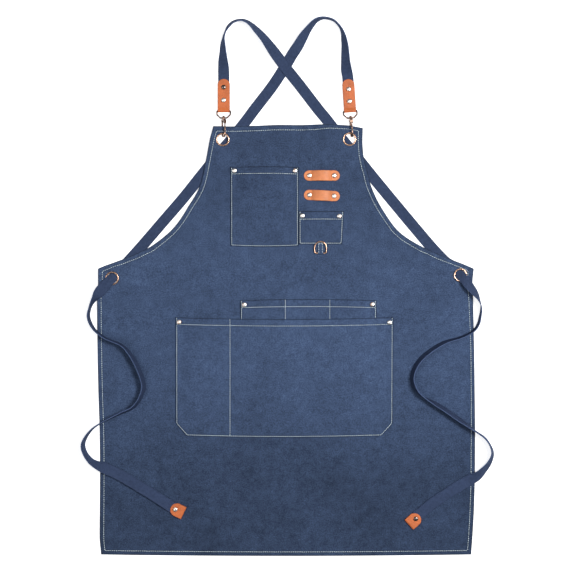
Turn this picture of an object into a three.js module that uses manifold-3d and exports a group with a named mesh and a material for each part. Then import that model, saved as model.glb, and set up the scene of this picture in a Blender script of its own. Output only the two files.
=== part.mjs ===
// Cross-back apron lying on a table with its front up.
// Millimetres: +X to the right, +Y towards the bib, +Z up from the table.
// The origin is on the table, under the middle of the apron and its straps.
import * as THREE from "three";
import { mergeVertices } from "three/addons/utils/BufferGeometryUtils.js";
import Module from "manifold-3d";

const wasm = await Module();
wasm.setup();

// Cloth, leather and clearances
const CLOTH = 1.2;
const HEM = { width: 9, foot: 0.6, thick: 2.4 };
const MOUTH_HEM = { width: 12, foot: 0.8, thick: 2.4 };
const POCKET_SEAM = 9;
const POCKET_ROWS = [1, 0.8, 0.6, 0.4, 0.2, 0];
const LEATHER = 1.6;
const TIE_LEATHER = 1.4;
const TAPE = 0.8;
const WEBBING = 1.4;
const GAP = 0.3;

// Metal
const WIRE_RADIUS = 1.3;
const EYELET = { bore: 9.4, barrel: 10.1, flange: 12.5, back: 0.8, front: 1.4, sides: 14 };
const RIVET = { shank: 1.2, head: 3.4, dome: 1.5, sides: 8 };
const DRILL_LENGTH = 60;

// Height of the cloth's underside over the table: it lies on the straps at the bib and the waist,
// and higher on the snap hooks at the top of the bib.
const LIFT = table(["y", "z"], [
  [600, 4.5],
  [238, 4.5],
  [222, 2],
  [55, 2],
  [45, 3],
  [-8, 3],
  [-22, 0],
  [-600, 0],
]);

// The body's edges from the bib's top to the skirt's bottom, one row for each height
const BODY_EDGES = table(["y", "left", "right"], [
  [288.5, -134, 136],
  [279.5, -136.5, 135.6],
  [278.9, -136.7, 135.6],
  [262, -141.6, 134.8],
  [250, -144, 135.4],
  [238, -146.3, 136.6],
  [222, -149.5, 140],
  [205, -152.7, 145],
  [187, -157.5, 150],
  [174, -162.8, 154.8],
  [160, -170.5, 161],
  [146, -179.5, 167.8],
  [131, -188.5, 176.5],
  [117, -198, 186],
  [102, -210.7, 199],
  [88, -226.5, 216.5],
  [78, -239.5, 233],
  [68, -254, 252],
  [60, -272, 270],
  [55, -283, 281.5],
  [45, -307.5, 305],
  [38, -326.5, 322],
  [32.5, -341.5, 336.5],
  [25.5, -342, 336.5],
  [8, -342.6, 335.2],
  [-8, -343.7, 335.6],
  [-22, -344.4, 336.3],
  [-60, -344.3, 337.2],
  [-120, -343.6, 338.2],
  [-190, -342.2, 338.6],
  [-260, -340, 338.8],
  [-330, -339.2, 338.6],
  [-400, -339.6, 337],
  [-450, -340, 334.4],
  [-475.9, -338.4, 332.7],
  [-476.5, -338.3, 332.6],
  [-485.5, -337.2, 332.1],
]);
const BODY_COLUMNS = 5;

// How far the top edge of the bib rises above the straight line between its corners
const TOP_BOW = table(["x", "rise"], [
  [-134, 0],
  [-60, 1.6],
  [0, 3],
  [68, 4.8],
  [104, 3.2],
  [136, -2.2],
]);
const BOTTOM_BOW = 2.6;

// Pockets: foot is the right edge at the bottom, clip the cut-off lower corners, seams the stitched
// lines between compartments, and crowns how far each compartment stands off the body.
const POCKETS = [
  {
    name: "main_pocket", left: -200.5, right: 190, foot: 189, top: -57.5, bottom: -269, bow: 2.5,
    clip: { x: 20, y: 23 }, seams: [-104.4], crowns: [6, 8], columns: [4, 7],
    crownFrom: -262, crownFull: -150,
  },
  {
    name: "tool_pocket", left: -83.5, right: 160, foot: 160, top: -24.5, bottom: -100, bow: 0,
    clip: { x: 0, y: 0 }, seams: [-3.6, 76.9], crowns: [0, 0, 0], columns: [0, 0, 0],
    crownFrom: -56, crownFull: -37,
  },
  {
    name: "chest_pocket", left: -100.3, right: 18.6, foot: 18.6, top: 216.7, bottom: 75, bow: 1,
    clip: { x: 0, y: 0 }, seams: [], crowns: [5.4], columns: [5],
    crownFrom: 82, crownFull: 150,
  },
  {
    name: "small_pocket", left: 23.3, right: 100.5, foot: 97.5, top: 136, bottom: 78.7, bow: 0,
    clip: { x: 0, y: 0 }, seams: [], crowns: [5.4], columns: [5],
    crownFrom: 82, crownFull: 110,
  },
];

// Riveted leather loops on the bib: middle, turn in degrees and half the distance between the rivets
const TOOL_LOOPS = table(["name", "x", "y", "turn", "reach"], [
  ["tool_loop_upper", 62.5, 200.7, 0, 22.4],
  ["tool_loop_lower", 62.5, 164.6, -2.6, 22.2],
]);
const TOOL_LOOP = { length: 65, width: 19, arch: 5.2 };

// Eyelets, with the thickness of cloth that each one clamps
const EYELETS = table(["name", "x", "y", "cloth"], [
  ["eyelet_bib_left", -116.6, 265.7, CLOTH],
  ["eyelet_bib_right", 112.6, 266.3, CLOTH],
  ["eyelet_waist_left", -316.9, 14.8, CLOTH],
  ["eyelet_waist_right", 313.3, 20.5, HEM.thick],
]);

// Rivets on the pockets' upper corners
const POCKET_RIVETS = table(["name", "x", "y"], [
  ["rivet_main_left", -195.8, -64.5],
  ["rivet_main_right", 185.2, -65],
  ["rivet_tool_left", -77.8, -33],
  ["rivet_tool_right", 153.8, -32.4],
  ["rivet_chest_left", -95.6, 209.4],
  ["rivet_chest_right", 14, 209.4],
  ["rivet_small_left", 28, 128.2],
  ["rivet_small_right", 93.8, 127.8],
]);

// Ring below the small pocket, on a folded tape
const D_RING = { x: 60.1, bar: 60.2, halfWidth: 10.7, legs: 10.3, tilt: 3 };
const D_RING_TAPE = { width: 10, length: 18.1, round: 0 };

// Snap hooks: the swivel's place, the lean of the whole fitting and the hook's tilt on its spine
const SNAPS = table(["side", "x", "y", "lean", "tilt", "rivets"], [
  ["left", -115, 304.5, 0, 24, [32.5, 56]],
  ["right", 114.6, 304.5, 3.8, 10, [30.5, 52.5]],
]);
const HOOK = {
  wire: 1.5, spineHeight: 1.6, legs: 12.5, noseCentre: -27.6, tip: -24.35, collar: 1.6,
  stem: 1.4, root: 0.5, head: 2.5, headHeight: 2, cheek: 1, slot: 1.2, slotDepth: 8, start: -3.5,
};
// Outline of the block that carries the gate's pin, in the hook's plane
const YOKE = table(["y", "z"], [
  [-1.9, 1.6],
  [-1.9, 11.2],
  [-4.4, 14.6],
  [-9, 14.6],
  [-10.1, 13.5],
  [-10.1, 11.6],
  [-8.8, 10.3],
  [-6.3, 9.4],
  [-5.4, 6.2],
  [-6.4, 1.2],
  [-6.4, -0.6],
  [-3.6, -0.6],
]);
const GATE = {
  pivot: -8, tip: -24, bevel: 0.8, shoulder: -12.4, neck: -11.2, radius: 1.3, eye: 2.05, halfWidth: 0.9,
  bore: 1.1, pin: 0.8,
};
const SNAP_LOOP = { halfWidth: 12.1, reach: 14.5, shoulder: 8, halfFoot: 6, corner: 2.4, barHeight: 3.2 };
const COLLAR = { bore: 1.75, radius: 3.3, drill: 12 };
const SHOULDER_TAB = { width: 21, length: 57, round: 10 };

// Leather tabs on the ties' ends: the fold's place, and the turn from +Y to the rounded end
const TIE_TABS = table(["name", "x", "y", "turn"], [
  ["tie_tab_left", -189, -408.4, 64],
  ["tie_tab_right", 221, -428.9, -48],
]);
const TIE_TAB = { width: 23, length: 22.6, round: 11, rivet: 14.5 };

// Centre lines of the straps, from the shoulder tab to the tie's end.
// roll is 0 where the strap lies flat and 90 where it stands on its edge;
// rest is the height of its lowest edge.
const STRAP_COLUMNS = ["x", "y", "roll", "width", "rest"];
const STRAP_LEFT = table(STRAP_COLUMNS, [
  [-115, 323.5, 0, 20, 1.9],
  [-115, 350, 0, 20, 1.9],
  [-115, 378, 0, 20, 1.9],
  [-116, 395, 15, 20, 1],
  [-117, 410, 36, 20, 0.3],
  [-117, 423, 53, 20, 0.3],
  [-116.5, 437, 64, 20, 0.3],
  [-115, 449, 80, 20, 0.3],
  [-112, 460, 90, 20, 0.3],
  [-106, 471, 92, 20, 0.3],
  [-98, 479, 90, 20, 0.3],
  [-86, 482.7, 88, 20, 0.3],
  [-76, 480.3, 80, 20, 0.3],
  [-66, 474, 70, 20, 0.3],
  [-56, 464, 54, 20, 0.3],
  [-43, 450, 44, 20, 0.4],
  [-32, 435.5, 30, 20, 0.8],
  [-21.5, 421, 12, 20, 1.6],
  [-4, 397.5, 0, 20, 2],
  [11, 378.5, 0, 20, 1.9],
  [23.5, 363, 0, 20, 1.1],
  [40, 341.5, 0, 20, 0.4],
  [57, 319.5, 0, 20, 0.2],
  [69, 304, 0, 20, 0.2],
  [91, 271, 0, 20, 0.2],
  [121, 236, 0, 20, 0.2],
  [154, 198, 0, 20, 0.2],
  [186, 159.5, 0, 20, 0.2],
  [222, 116.5, 0, 20, 0.2],
  [259, 73, 0, 20, 0.2],
  [285, 46, 0, 20, 0.2],
  [298, 37.5, 0, 18, 0.2],
  [305.4, 29.5, 0, 14, 0.2],
  [308.8, 25.6, 0, 12.4, 0.3],
  [317.8, 15.4, 0, 12.4, 7.4],
  [321.2, 11.4, 0, 15, 7.5],
  [327.5, 2.5, 0, 20, 7],
  [336, -8, 12, 20, 6.2],
  [342, -16.5, 44, 20, 5.4],
  [346, -24, 70, 20, 3.5],
  [349.5, -33, 85, 20, 1.5],
  [351, -42, 88, 20, 0.6],
  [349, -55.5, 90, 20, 0.6],
  [345, -67, 92, 20, 1.6],
  [338, -78, 92, 20, 2.8],
  [326, -86.5, 90, 20, 2.8],
  [309, -93.5, 90, 20, 1.6],
  [286.5, -100, 90, 20, 1.6],
  [266, -111, 90, 20, 1.6],
  [244, -129, 90, 20, 1.6],
  [232, -149, 90, 20, 1.6],
  [228, -167, 88, 20, 1.6],
  [234, -185, 84, 20, 1.6],
  [246, -198, 80, 20, 1.6],
  [274, -215.5, 76, 20, 1.6],
  [304, -236, 80, 20, 1.8],
  [324, -250, 86, 20, 2.8],
  [340, -261.5, 88, 20, 2.8],
  [357, -273, 86, 20, 1.2],
  [367.5, -287, 80, 20, 0.5],
  [371, -303, 71, 20, 0.5],
  [365.5, -319.5, 66, 20, 1.2],
  [356, -333, 56, 20, 2.6],
  [345, -343.5, 36, 20, 2.9],
  [331, -351, 12, 20, 2.9],
  [312, -361, 0, 20, 2],
  [276.5, -383, 0, 20, 1.6],
  [254, -399.5, 0, 20, 2.4],
  [237.3, -414.2, 0, 20, 3.2],
  [222.5, -427.6, 0, 20, 3.2],
]);
const STRAP_RIGHT = table(STRAP_COLUMNS, [
  [113.3, 323.4, 0, 20, 1.9],
  [111.6, 349.5, 0, 20, 1.9],
  [109.6, 378, 0, 20, 1.9],
  [107, 392, 18, 20, 1],
  [105.5, 406, 40, 20, 0.3],
  [104.8, 421, 48, 20, 0.3],
  [104, 435.5, 57, 20, 0.3],
  [102, 449, 67, 20, 0.3],
  [99, 461, 80, 20, 0.3],
  [93.5, 471, 88, 20, 0.3],
  [83, 481, 90, 20, 0.3],
  [67.5, 485, 88, 20, 0.3],
  [55, 482.5, 75, 20, 0.3],
  [46, 477, 62, 20, 0.3],
  [36, 465, 44, 20, 0.3],
  [26.5, 450, 28, 20, 0.3],
  [18, 435, 10, 20, 0.2],
  [8, 419.5, 0, 20, 0.2],
  [-4, 400, 0, 20, 0.2],
  [-28, 363, 0, 20, 0.2],
  [-61.5, 319.5, 0, 20, 0.2],
  [-72.5, 304.5, 0, 20, 0.2],
  [-94, 271, 0, 20, 0.2],
  [-125, 238, 0, 20, 0.2],
  [-158, 200, 0, 20, 0.2],
  [-190, 160, 0, 20, 0.2],
  [-227, 117, 0, 20, 0.2],
  [-264.5, 73.5, 0, 20, 0.2],
  [-287, 48, 0, 20, 0.2],
  [-300, 32.5, 0, 18, 0.2],
  [-308.5, 23.3, 0, 14, 0.2],
  [-312.1, 19.6, 0, 12.4, 0.3],
  [-321.7, 10, 0, 12.4, 6.3],
  [-325.3, 6.3, 0, 15, 6.4],
  [-332.5, -1.5, 0, 20, 6.3],
  [-340, -11, 16, 20, 6],
  [-346, -19.5, 46, 20, 5.4],
  [-353, -29.5, 70, 20, 3],
  [-358, -41, 86, 20, 1],
  [-360.3, -53, 96, 20, 0.6],
  [-356.5, -66, 98, 20, 1.2],
  [-346, -80.5, 98, 20, 2.8],
  [-328, -93.5, 94, 20, 2.8],
  [-300, -105.5, 90, 20, 1.6],
  [-286, -121.5, 90, 20, 1.6],
  [-273.5, -144.5, 90, 20, 1.6],
  [-264, -169, 90, 20, 1.6],
  [-262.3, -184, 90, 20, 1.6],
  [-268.5, -202.5, 90, 20, 1.6],
  [-281, -218, 90, 20, 1.6],
  [-299, -227, 90, 20, 1.6],
  [-324, -238.3, 90, 20, 2.8],
  [-340, -246.5, 88, 20, 2.8],
  [-353, -256.5, 86, 20, 1.2],
  [-365, -271.5, 80, 20, 0.5],
  [-369.5, -287, 72, 20, 0.5],
  [-364, -304.5, 68, 20, 0.6],
  [-353, -319, 60, 20, 2],
  [-342, -326.5, 44, 20, 2.9],
  [-328, -332, 18, 20, 2.9],
  [-304, -342.6, 0, 20, 1.8],
  [-263.5, -365.5, 0, 20, 1.6],
  [-227, -387.5, 0, 20, 2.2],
  [-209, -398.8, 0, 20, 3.2],
  [-190.8, -407.5, 0, 20, 3.2],
]);
// Runs of each strap, from row to row of its table; they meet under the cloth
const RUN_COLUMNS = ["name", "from", "to"];
const RUNS_LEFT = table(RUN_COLUMNS, [
  ["shoulder_strap_left", 0, 24],
  ["back_strap_left", 24, 30],
  ["tie_right", 30, STRAP_LEFT.length - 1],
]);
const RUNS_RIGHT = table(RUN_COLUMNS, [
  ["shoulder_strap_right", 0, 22],
  ["back_strap_right", 22, 28],
  ["tie_left", 28, STRAP_RIGHT.length - 1],
]);
const STRAP_STEPS = 2;
const RUN_PART = 0.006;

const FINISH = {
  canvas: { color: 0x465674, roughness: 0.92, metalness: 0 },
  webbing: { color: 0x3f4c68, roughness: 0.85, metalness: 0 },
  leather: { color: 0xc9784f, roughness: 0.6, metalness: 0 },
  bronze: { color: 0x8a6a52, roughness: 0.35, metalness: 0.9 },
  nickel: { color: 0xb9b4ac, roughness: 0.25, metalness: 0.95 },
};

// Turns rows of values into objects with named columns
function table(columns, rows) {
  return rows.map((row) => Object.fromEntries(columns.map((column, k) => [column, row[k]])));
}

function radians(degrees) {
  return THREE.MathUtils.degToRad(degrees);
}

// Straight-line interpolation in a table whose key column runs steadily up or down; flat beyond its ends
function lookUp(rows, key, value, wanted) {
  const ends = [rows[0][key], rows.at(-1)[key]];
  const inside = THREE.MathUtils.clamp(value, Math.min(...ends), Math.max(...ends));
  const k = rows.findIndex((row, n) => n > 0 && (inside - rows[n - 1][key]) * (inside - row[key]) <= 0);
  const a = rows[k - 1];
  const b = rows[k];
  return THREE.MathUtils.mapLinear(inside, a[key], b[key], a[wanted], b[wanted]);
}

// Merged, position-only geometry with no empty triangles and its faces pointing out
function solid(geometry) {
  const bare = geometry.clone();
  bare.deleteAttribute("normal");
  bare.deleteAttribute("uv");
  const merged = mergeVertices(bare, 1e-4);
  const position = merged.getAttribute("position");
  const source = merged.getIndex().array;
  const corner = [0, 1, 2].map(() => new THREE.Vector3());
  const kept = [];
  let volume = 0;
  for (let k = 0; k < source.length; k += 3) {
    const [a, b, c] = source.subarray(k, k + 3);
    if (a !== b && b !== c && c !== a) {
      kept.push(a, b, c);
      [a, b, c].forEach((vertex, n) => corner[n].fromBufferAttribute(position, vertex));
      volume += corner[0].dot(corner[1].clone().cross(corner[2]));
    }
  }
  if (volume < 0) {
    kept.reverse();
  }
  merged.setIndex(kept);
  return merged;
}

function toManifold(geometry) {
  const closed = solid(geometry);
  return new wasm.Manifold(new wasm.Mesh({
    numProp: 3,
    vertProperties: new Float32Array(closed.getAttribute("position").array),
    triVerts: new Uint32Array(closed.getIndex().array),
  }));
}

function fromManifold(manifold) {
  const mesh = manifold.getMesh();
  const geometry = new THREE.BufferGeometry();
  geometry.setAttribute("position", new THREE.BufferAttribute(mesh.vertProperties, mesh.numProp));
  geometry.setIndex(new THREE.BufferAttribute(mesh.triVerts, 1));
  return geometry;
}

function join(...geometries) {
  const [first, ...others] = geometries.map(toManifold);
  return fromManifold(others.reduce((whole, piece) => whole.add(piece), first));
}

function cut(geometry, tools) {
  const blank = toManifold(geometry);
  return fromManifold(tools.map(toManifold).reduce((whole, tool) => whole.subtract(tool), blank));
}

function common(geometry, other) {
  return fromManifold(toManifold(geometry).intersect(toManifold(other)));
}

// Upright round tool for a hole
function drill(x, y, radius, sides) {
  const rod = new THREE.CylinderGeometry(radius, radius, DRILL_LENGTH, sides);
  return rod.rotateX(Math.PI / 2).translate(x, y, 0);
}

// Closed wall over a grid of points: rows run from high to low y, columns from left to right.
// z is the underside and thick the height above it.
function wall(grid) {
  const rowCount = grid.length;
  const columnCount = grid[0].length;
  const count = rowCount * columnCount;
  const position = [];
  for (const top of [0, 1]) {
    grid.flat().forEach((point) => position.push(point.x, point.y, point.z + top * point.thick));
  }
  const at = (row, column) => row * columnCount + column;
  const index = [];
  for (let row = 0; row + 1 < rowCount; row += 1) {
    for (let column = 0; column + 1 < columnCount; column += 1) {
      const [a, b] = [at(row, column), at(row + 1, column)];
      const [c, d] = [at(row + 1, column + 1), at(row, column + 1)];
      index.push(count + a, count + b, count + c, count + a, count + c, count + d);
      index.push(a, c, b, a, d, c);
    }
  }
  const rows = [...Array(rowCount).keys()];
  const columns = [...Array(columnCount).keys()];
  const rim = [
    ...rows.slice(0, -1).map((row) => at(row, 0)),
    ...columns.slice(0, -1).map((column) => at(rowCount - 1, column)),
    ...rows.slice(1).reverse().map((row) => at(row, columnCount - 1)),
    ...columns.slice(1).reverse().map((column) => at(0, column)),
  ];
  rim.forEach((a, k) => {
    const b = rim[(k + 1) % rim.length];
    index.push(a, b, count + b, a, count + b, count + a);
  });
  const geometry = new THREE.BufferGeometry();
  geometry.setAttribute("position", new THREE.Float32BufferAttribute(position, 3));
  geometry.setIndex(index);
  return geometry;
}

// Closed body through a row of sections with equally many points.
// A ring joins its last section to its first.
function loft(sections, ring = false) {
  const count = sections[0].length;
  const position = sections.flat().flatMap((point) => point.toArray());
  const index = [];
  const spans = ring ? sections.length : sections.length - 1;
  for (let k = 0; k < spans; k += 1) {
    const here = k * count;
    const next = ((k + 1) % sections.length) * count;
    for (let n = 0; n < count; n += 1) {
      const m = (n + 1) % count;
      index.push(here + n, here + m, next + m, here + n, next + m, next + n);
    }
  }
  if (!ring) {
    const last = (sections.length - 1) * count;
    for (let n = 1; n + 1 < count; n += 1) {
      index.push(0, n + 1, n, last, last + n, last + n + 1);
    }
  }
  const geometry = new THREE.BufferGeometry();
  geometry.setAttribute("position", new THREE.Float32BufferAttribute(position, 3));
  geometry.setIndex(index);
  return solid(geometry);
}

// Round wire along points that lie in one plane, whose normal is across
function wire(points, radius, across, sides = 8, ring = false) {
  const last = points.length - 1;
  const sections = points.map((point, k) => {
    const before = points[ring ? (k + last) % points.length : Math.max(k - 1, 0)];
    const after = points[ring ? (k + 1) % points.length : Math.min(k + 1, last)];
    const outward = across.clone().cross(after.clone().sub(before)).normalize();
    return Array.from({ length: sides }, (_, n) => {
      const angle = (2 * Math.PI * n) / sides;
      return point.clone()
        .addScaledVector(across, radius * Math.cos(angle))
        .addScaledVector(outward, radius * Math.sin(angle));
    });
  });
  return loft(sections, ring);
}

// Points along a polygon in the XY plane whose corners are rounded
function roundedPolygon(corners, radius, steps = 2) {
  return corners.flatMap((corner, k) => {
    const before = corners[(k + corners.length - 1) % corners.length];
    const after = corners[(k + 1) % corners.length];
    const start = corner.clone().add(before.clone().sub(corner).setLength(radius));
    const end = corner.clone().add(after.clone().sub(corner).setLength(radius));
    const bend = new THREE.QuadraticBezierCurve3(start, corner, end);
    return bend.getPoints(steps);
  });
}

function turned(profile, sides) {
  const points = profile.map(([radius, height]) => new THREE.Vector2(radius, height));
  return solid(new THREE.LatheGeometry(points, sides).rotateX(Math.PI / 2));
}

const apron = new THREE.Group();

function add(name, geometry, finish, parent = apron) {
  const mesh = new THREE.Mesh(geometry, new THREE.MeshStandardMaterial(FINISH[finish]));
  mesh.name = name;
  parent.add(mesh);
  return mesh;
}

function liftAt(y) {
  return lookUp(LIFT, "y", y, "z");
}

function clothTop(y) {
  return liftAt(y) + CLOTH;
}

// Shank through the layers and a domed head on top; x and y are in the parent's frame
function addRivet(name, x, y, foot, seat, finish, parent = apron) {
  const head = seat + GAP;
  const mesh = add(name, turned([
    [0, foot],
    [RIVET.shank, foot],
    [RIVET.shank, head],
    [RIVET.head, head],
    [RIVET.head * 0.7, head + RIVET.dome],
    [0, head + RIVET.dome],
  ], RIVET.sides), finish, parent);
  mesh.position.set(x, y, 0);
}

function rivetHole(x, y) {
  return drill(x, y, RIVET.shank + GAP, RIVET.sides);
}

// Distance along a row from the body's edge to a line that runs the given depth inside it
function inset(row, side, depth) {
  const above = BODY_EDGES[Math.max(row - 1, 0)];
  const here = BODY_EDGES[Math.max(row, 1)];
  const slope = (above[side] - here[side]) / (above.y - here.y);
  return depth * Math.hypot(1, slope);
}

function bodyRow(edge, row) {
  const foot = HEM.width + HEM.foot;
  const inner = {
    left: edge.left + inset(row, "left", foot),
    right: edge.right - inset(row, "right", foot),
  };
  const left = [edge.left, edge.left + inset(row, "left", HEM.width)];
  const right = [edge.right - inset(row, "right", HEM.width), edge.right];
  const middle = Array.from({ length: BODY_COLUMNS }, (_, k) => (
    THREE.MathUtils.lerp(inner.left, inner.right, k / (BODY_COLUMNS - 1))
  ));
  const last = BODY_EDGES.length - 1;
  const inTopHem = row <= 1;
  const inBottomHem = row >= last - 1;
  return [...left, ...middle, ...right].map((x, column, all) => {
    const inSideHem = column <= 1 || column >= all.length - 2;
    const share = (x - edge.left) / (edge.right - edge.left);
    const rise = row <= 2 ? lookUp(TOP_BOW, "x", x, "rise") : 0;
    const drop = row >= last - 2 ? BOTTOM_BOW * (1 - (2 * share - 1) ** 2) : 0;
    const thick = inSideHem || inTopHem || inBottomHem ? HEM.thick : CLOTH;
    return { x, y: edge.y + rise - drop, z: liftAt(edge.y), thick };
  });
}

function makeBody(rivetPlaces) {
  const holes = EYELETS.map(({ x, y }) => drill(x, y, EYELET.barrel + GAP, EYELET.sides));
  const shanks = rivetPlaces.map(({ x, y }) => rivetHole(x, y));
  add("body_panel", cut(wall(BODY_EDGES.map(bodyRow)), [...holes, ...shanks]), "canvas");
}

// The pocket's height over the body: nothing along its seams and up to crown in each compartment
function pocketCrown(pocket, x, y) {
  const edges = [pocket.left + POCKET_SEAM, ...pocket.seams, pocket.right - POCKET_SEAM];
  const open = THREE.MathUtils.smoothstep(y, pocket.crownFrom, pocket.crownFull);
  const k = edges.findIndex((edge, n) => x >= edge && x <= edges[n + 1]);
  if (k < 0) {
    return 0;
  }
  const share = (x - edges[k]) / (edges[k + 1] - edges[k]);
  return pocket.crowns[k] * open * (1 - Math.abs(2 * share - 1) ** 3);
}

function pocketColumns(pocket) {
  const edges = [pocket.left + POCKET_SEAM, ...pocket.seams, pocket.right - POCKET_SEAM];
  const columns = [pocket.left];
  pocket.columns.forEach((count, k) => {
    for (let n = 0; n <= count; n += 1) {
      columns.push(THREE.MathUtils.lerp(edges[k], edges[k + 1], n / (count + 1)));
    }
  });
  columns.push(edges.at(-1), pocket.right);
  const clipped = [pocket.left + pocket.clip.x, pocket.right - pocket.clip.x];
  return pocket.clip.x > 0 ? [...columns, ...clipped].sort((a, b) => a - b) : columns;
}

// Height of the pocket's bottom edge at x
function pocketBottom(pocket, x) {
  const share = (x - pocket.left) / (pocket.right - pocket.left);
  const fromSide = Math.min(x - pocket.left, pocket.right - x);
  const clip = pocket.clip.x > 0 ? pocket.clip.y * Math.max(0, 1 - fromSide / pocket.clip.x) : 0;
  return pocket.bottom - pocket.bow * (1 - (2 * share - 1) ** 2) + clip;
}

function pocketPoint(pocket, x, y, thick) {
  const share = (x - pocket.left) / (pocket.right - pocket.left);
  const lean = ((pocket.foot - pocket.right) * share * (pocket.top - y)) / (pocket.top - pocket.bottom);
  const z = clothTop(y) + GAP + pocketCrown(pocket, x, y);
  return { x: x + lean, y, z, thick };
}

// Sewn-on pocket with a thick hem along its mouth
function makePocket(pocket) {
  const mouth = pocket.top - MOUTH_HEM.width;
  const columns = pocketColumns(pocket);
  const hem = [pocket.top, mouth].map((y) => (
    columns.map((x) => pocketPoint(pocket, x, y, MOUTH_HEM.thick))
  ));
  const face = POCKET_ROWS.map((share) => columns.map((x) => {
    const y = THREE.MathUtils.lerp(pocketBottom(pocket, x), mouth - MOUTH_HEM.foot, share);
    return pocketPoint(pocket, x, y, CLOTH);
  }));
  const grid = [...hem, ...face];
  const holes = POCKET_RIVETS.filter(({ name }) => name.includes(pocket.name.split("_")[0]));
  add(pocket.name, cut(wall(grid), holes.map(({ x, y }) => rivetHole(x, y))), "canvas");
  holes.forEach(({ name, x, y }) => {
    const seat = clothTop(y) + GAP + MOUTH_HEM.thick;
    addRivet(name, x, y, liftAt(y) + GAP, seat, "nickel");
  });
}

// Leather strap with round ends, lying flat at its two rivets and arched between them
function makeToolLoop({ name, x, y, turn, reach }) {
  const half = TOOL_LOOP.length / 2;
  const bend = TOOL_LOOP.width / 2;
  const rise = reach - RIVET.head - GAP;
  const right = [
    ...[0, 0.35, 0.7, 1].map((share) => share * rise),
    ...[0, 0.5, 0.85, 1].map((share) => half - bend + share * bend),
  ];
  const along = [...right.slice(1).reverse().map((offset) => -offset), ...right];
  const grid = [0.5, 0, -0.5].map((across) => along.map((offset) => {
    const round = Math.max(0, Math.abs(offset) - half + bend) / bend;
    const width = TOOL_LOOP.width * Math.max(0.28, Math.sqrt(1 - round * round));
    const arch = TOOL_LOOP.arch * (1 - Math.min(1, Math.abs(offset) / rise) ** 2.5);
    return { x: offset, y: across * width, z: arch, thick: LEATHER };
  }));
  const pieces = new THREE.Group();
  pieces.position.set(x, y, clothTop(y) + GAP);
  pieces.rotation.z = radians(turn);
  apron.add(pieces);
  const ends = [-reach, reach];
  add(name, cut(wall(grid), ends.map((end) => rivetHole(end, 0))), "leather", pieces);
  ends.forEach((end, k) => {
    const side = k === 0 ? "left" : "right";
    addRivet(name.replace("tool_loop", `rivet_loop_${side}`), end, 0, -CLOTH, LEATHER, "nickel", pieces);
  });
}

function toolLoopRivets({ x, y, turn, reach }) {
  return [-reach, reach].map((end) => ({
    x: x + end * Math.cos(radians(turn)),
    y: y + end * Math.sin(radians(turn)),
  }));
}

// Ring that clamps the cloth between a back washer and a rounded front flange
function makeEyelet({ name, x, y, cloth }) {
  const back = -GAP;
  const front = cloth + GAP;
  const rim = EYELET.flange - EYELET.bore;
  const mesh = add(name, turned([
    [EYELET.bore, back - EYELET.back],
    [EYELET.flange, back - EYELET.back],
    [EYELET.flange, back],
    [EYELET.barrel, back],
    [EYELET.barrel, front],
    [EYELET.flange, front],
    [EYELET.flange - rim * 0.3, front + EYELET.front],
    [EYELET.bore + rim * 0.3, front + EYELET.front],
    [EYELET.bore, front + EYELET.front * 0.4],
    [EYELET.bore, back - EYELET.back],
  ], EYELET.sides), "bronze");
  mesh.position.set(x, y, liftAt(y));
}

// Slab of the given depth across x = 0 from a shape whose first axis is Y and second is Z
function slab(shape, depth) {
  return new THREE.ExtrudeGeometry(shape, { depth, bevelEnabled: false })
    .translate(0, 0, -depth / 2)
    .rotateY(Math.PI / 2)
    .rotateX(Math.PI / 2);
}

// Strip folded round a bar: the lower layer lies on z = 0 and the fold points along -Y.
// bore is the fold's inner radius and room the space between the two layers.
function foldedStrip({ width, length, round }, thick, bore, room) {
  const fold = bore + thick / 2;
  const settle = 4 * (2 * bore - room);
  const upper = 1.5 * thick + room;
  const middle = [[length, thick / 2], [0, thick / 2]];
  const steps = 5;
  for (let k = 1; k < steps; k += 1) {
    const angle = (Math.PI * k) / steps;
    middle.push([-fold * Math.sin(angle), thick / 2 + fold * (1 - Math.cos(angle))]);
  }
  middle.push([0, thick / 2 + 2 * fold]);
  if (settle > 0) {
    middle.push([settle, upper]);
  }
  middle.push([length, upper]);
  const line = middle.map(([y, z]) => new THREE.Vector2(y, z));
  const sides = [1, -1].map((sign) => line.map((point, k) => {
    const before = line[Math.max(k - 1, 0)];
    const after = line[Math.min(k + 1, line.length - 1)];
    const tangent = after.clone().sub(before).normalize();
    const normal = new THREE.Vector2(-tangent.y, tangent.x);
    return point.clone().addScaledVector(normal, (sign * thick) / 2);
  }));
  const profile = new THREE.Shape([...sides[0], ...sides[1].reverse()]);
  const strip = slab(profile, width);
  if (round === 0) {
    return solid(strip);
  }
  const plan = new THREE.Shape();
  plan.moveTo(-width, -width);
  plan.lineTo(width, -width);
  plan.lineTo(width / 2, length - round);
  plan.absellipse(0, length - round, width / 2, round, 0, Math.PI, false, 0);
  const options = { depth: DRILL_LENGTH, bevelEnabled: false, curveSegments: 5 };
  const blank = new THREE.ExtrudeGeometry(plan, options).translate(0, 0, -DRILL_LENGTH / 2);
  return common(strip, blank);
}

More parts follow.
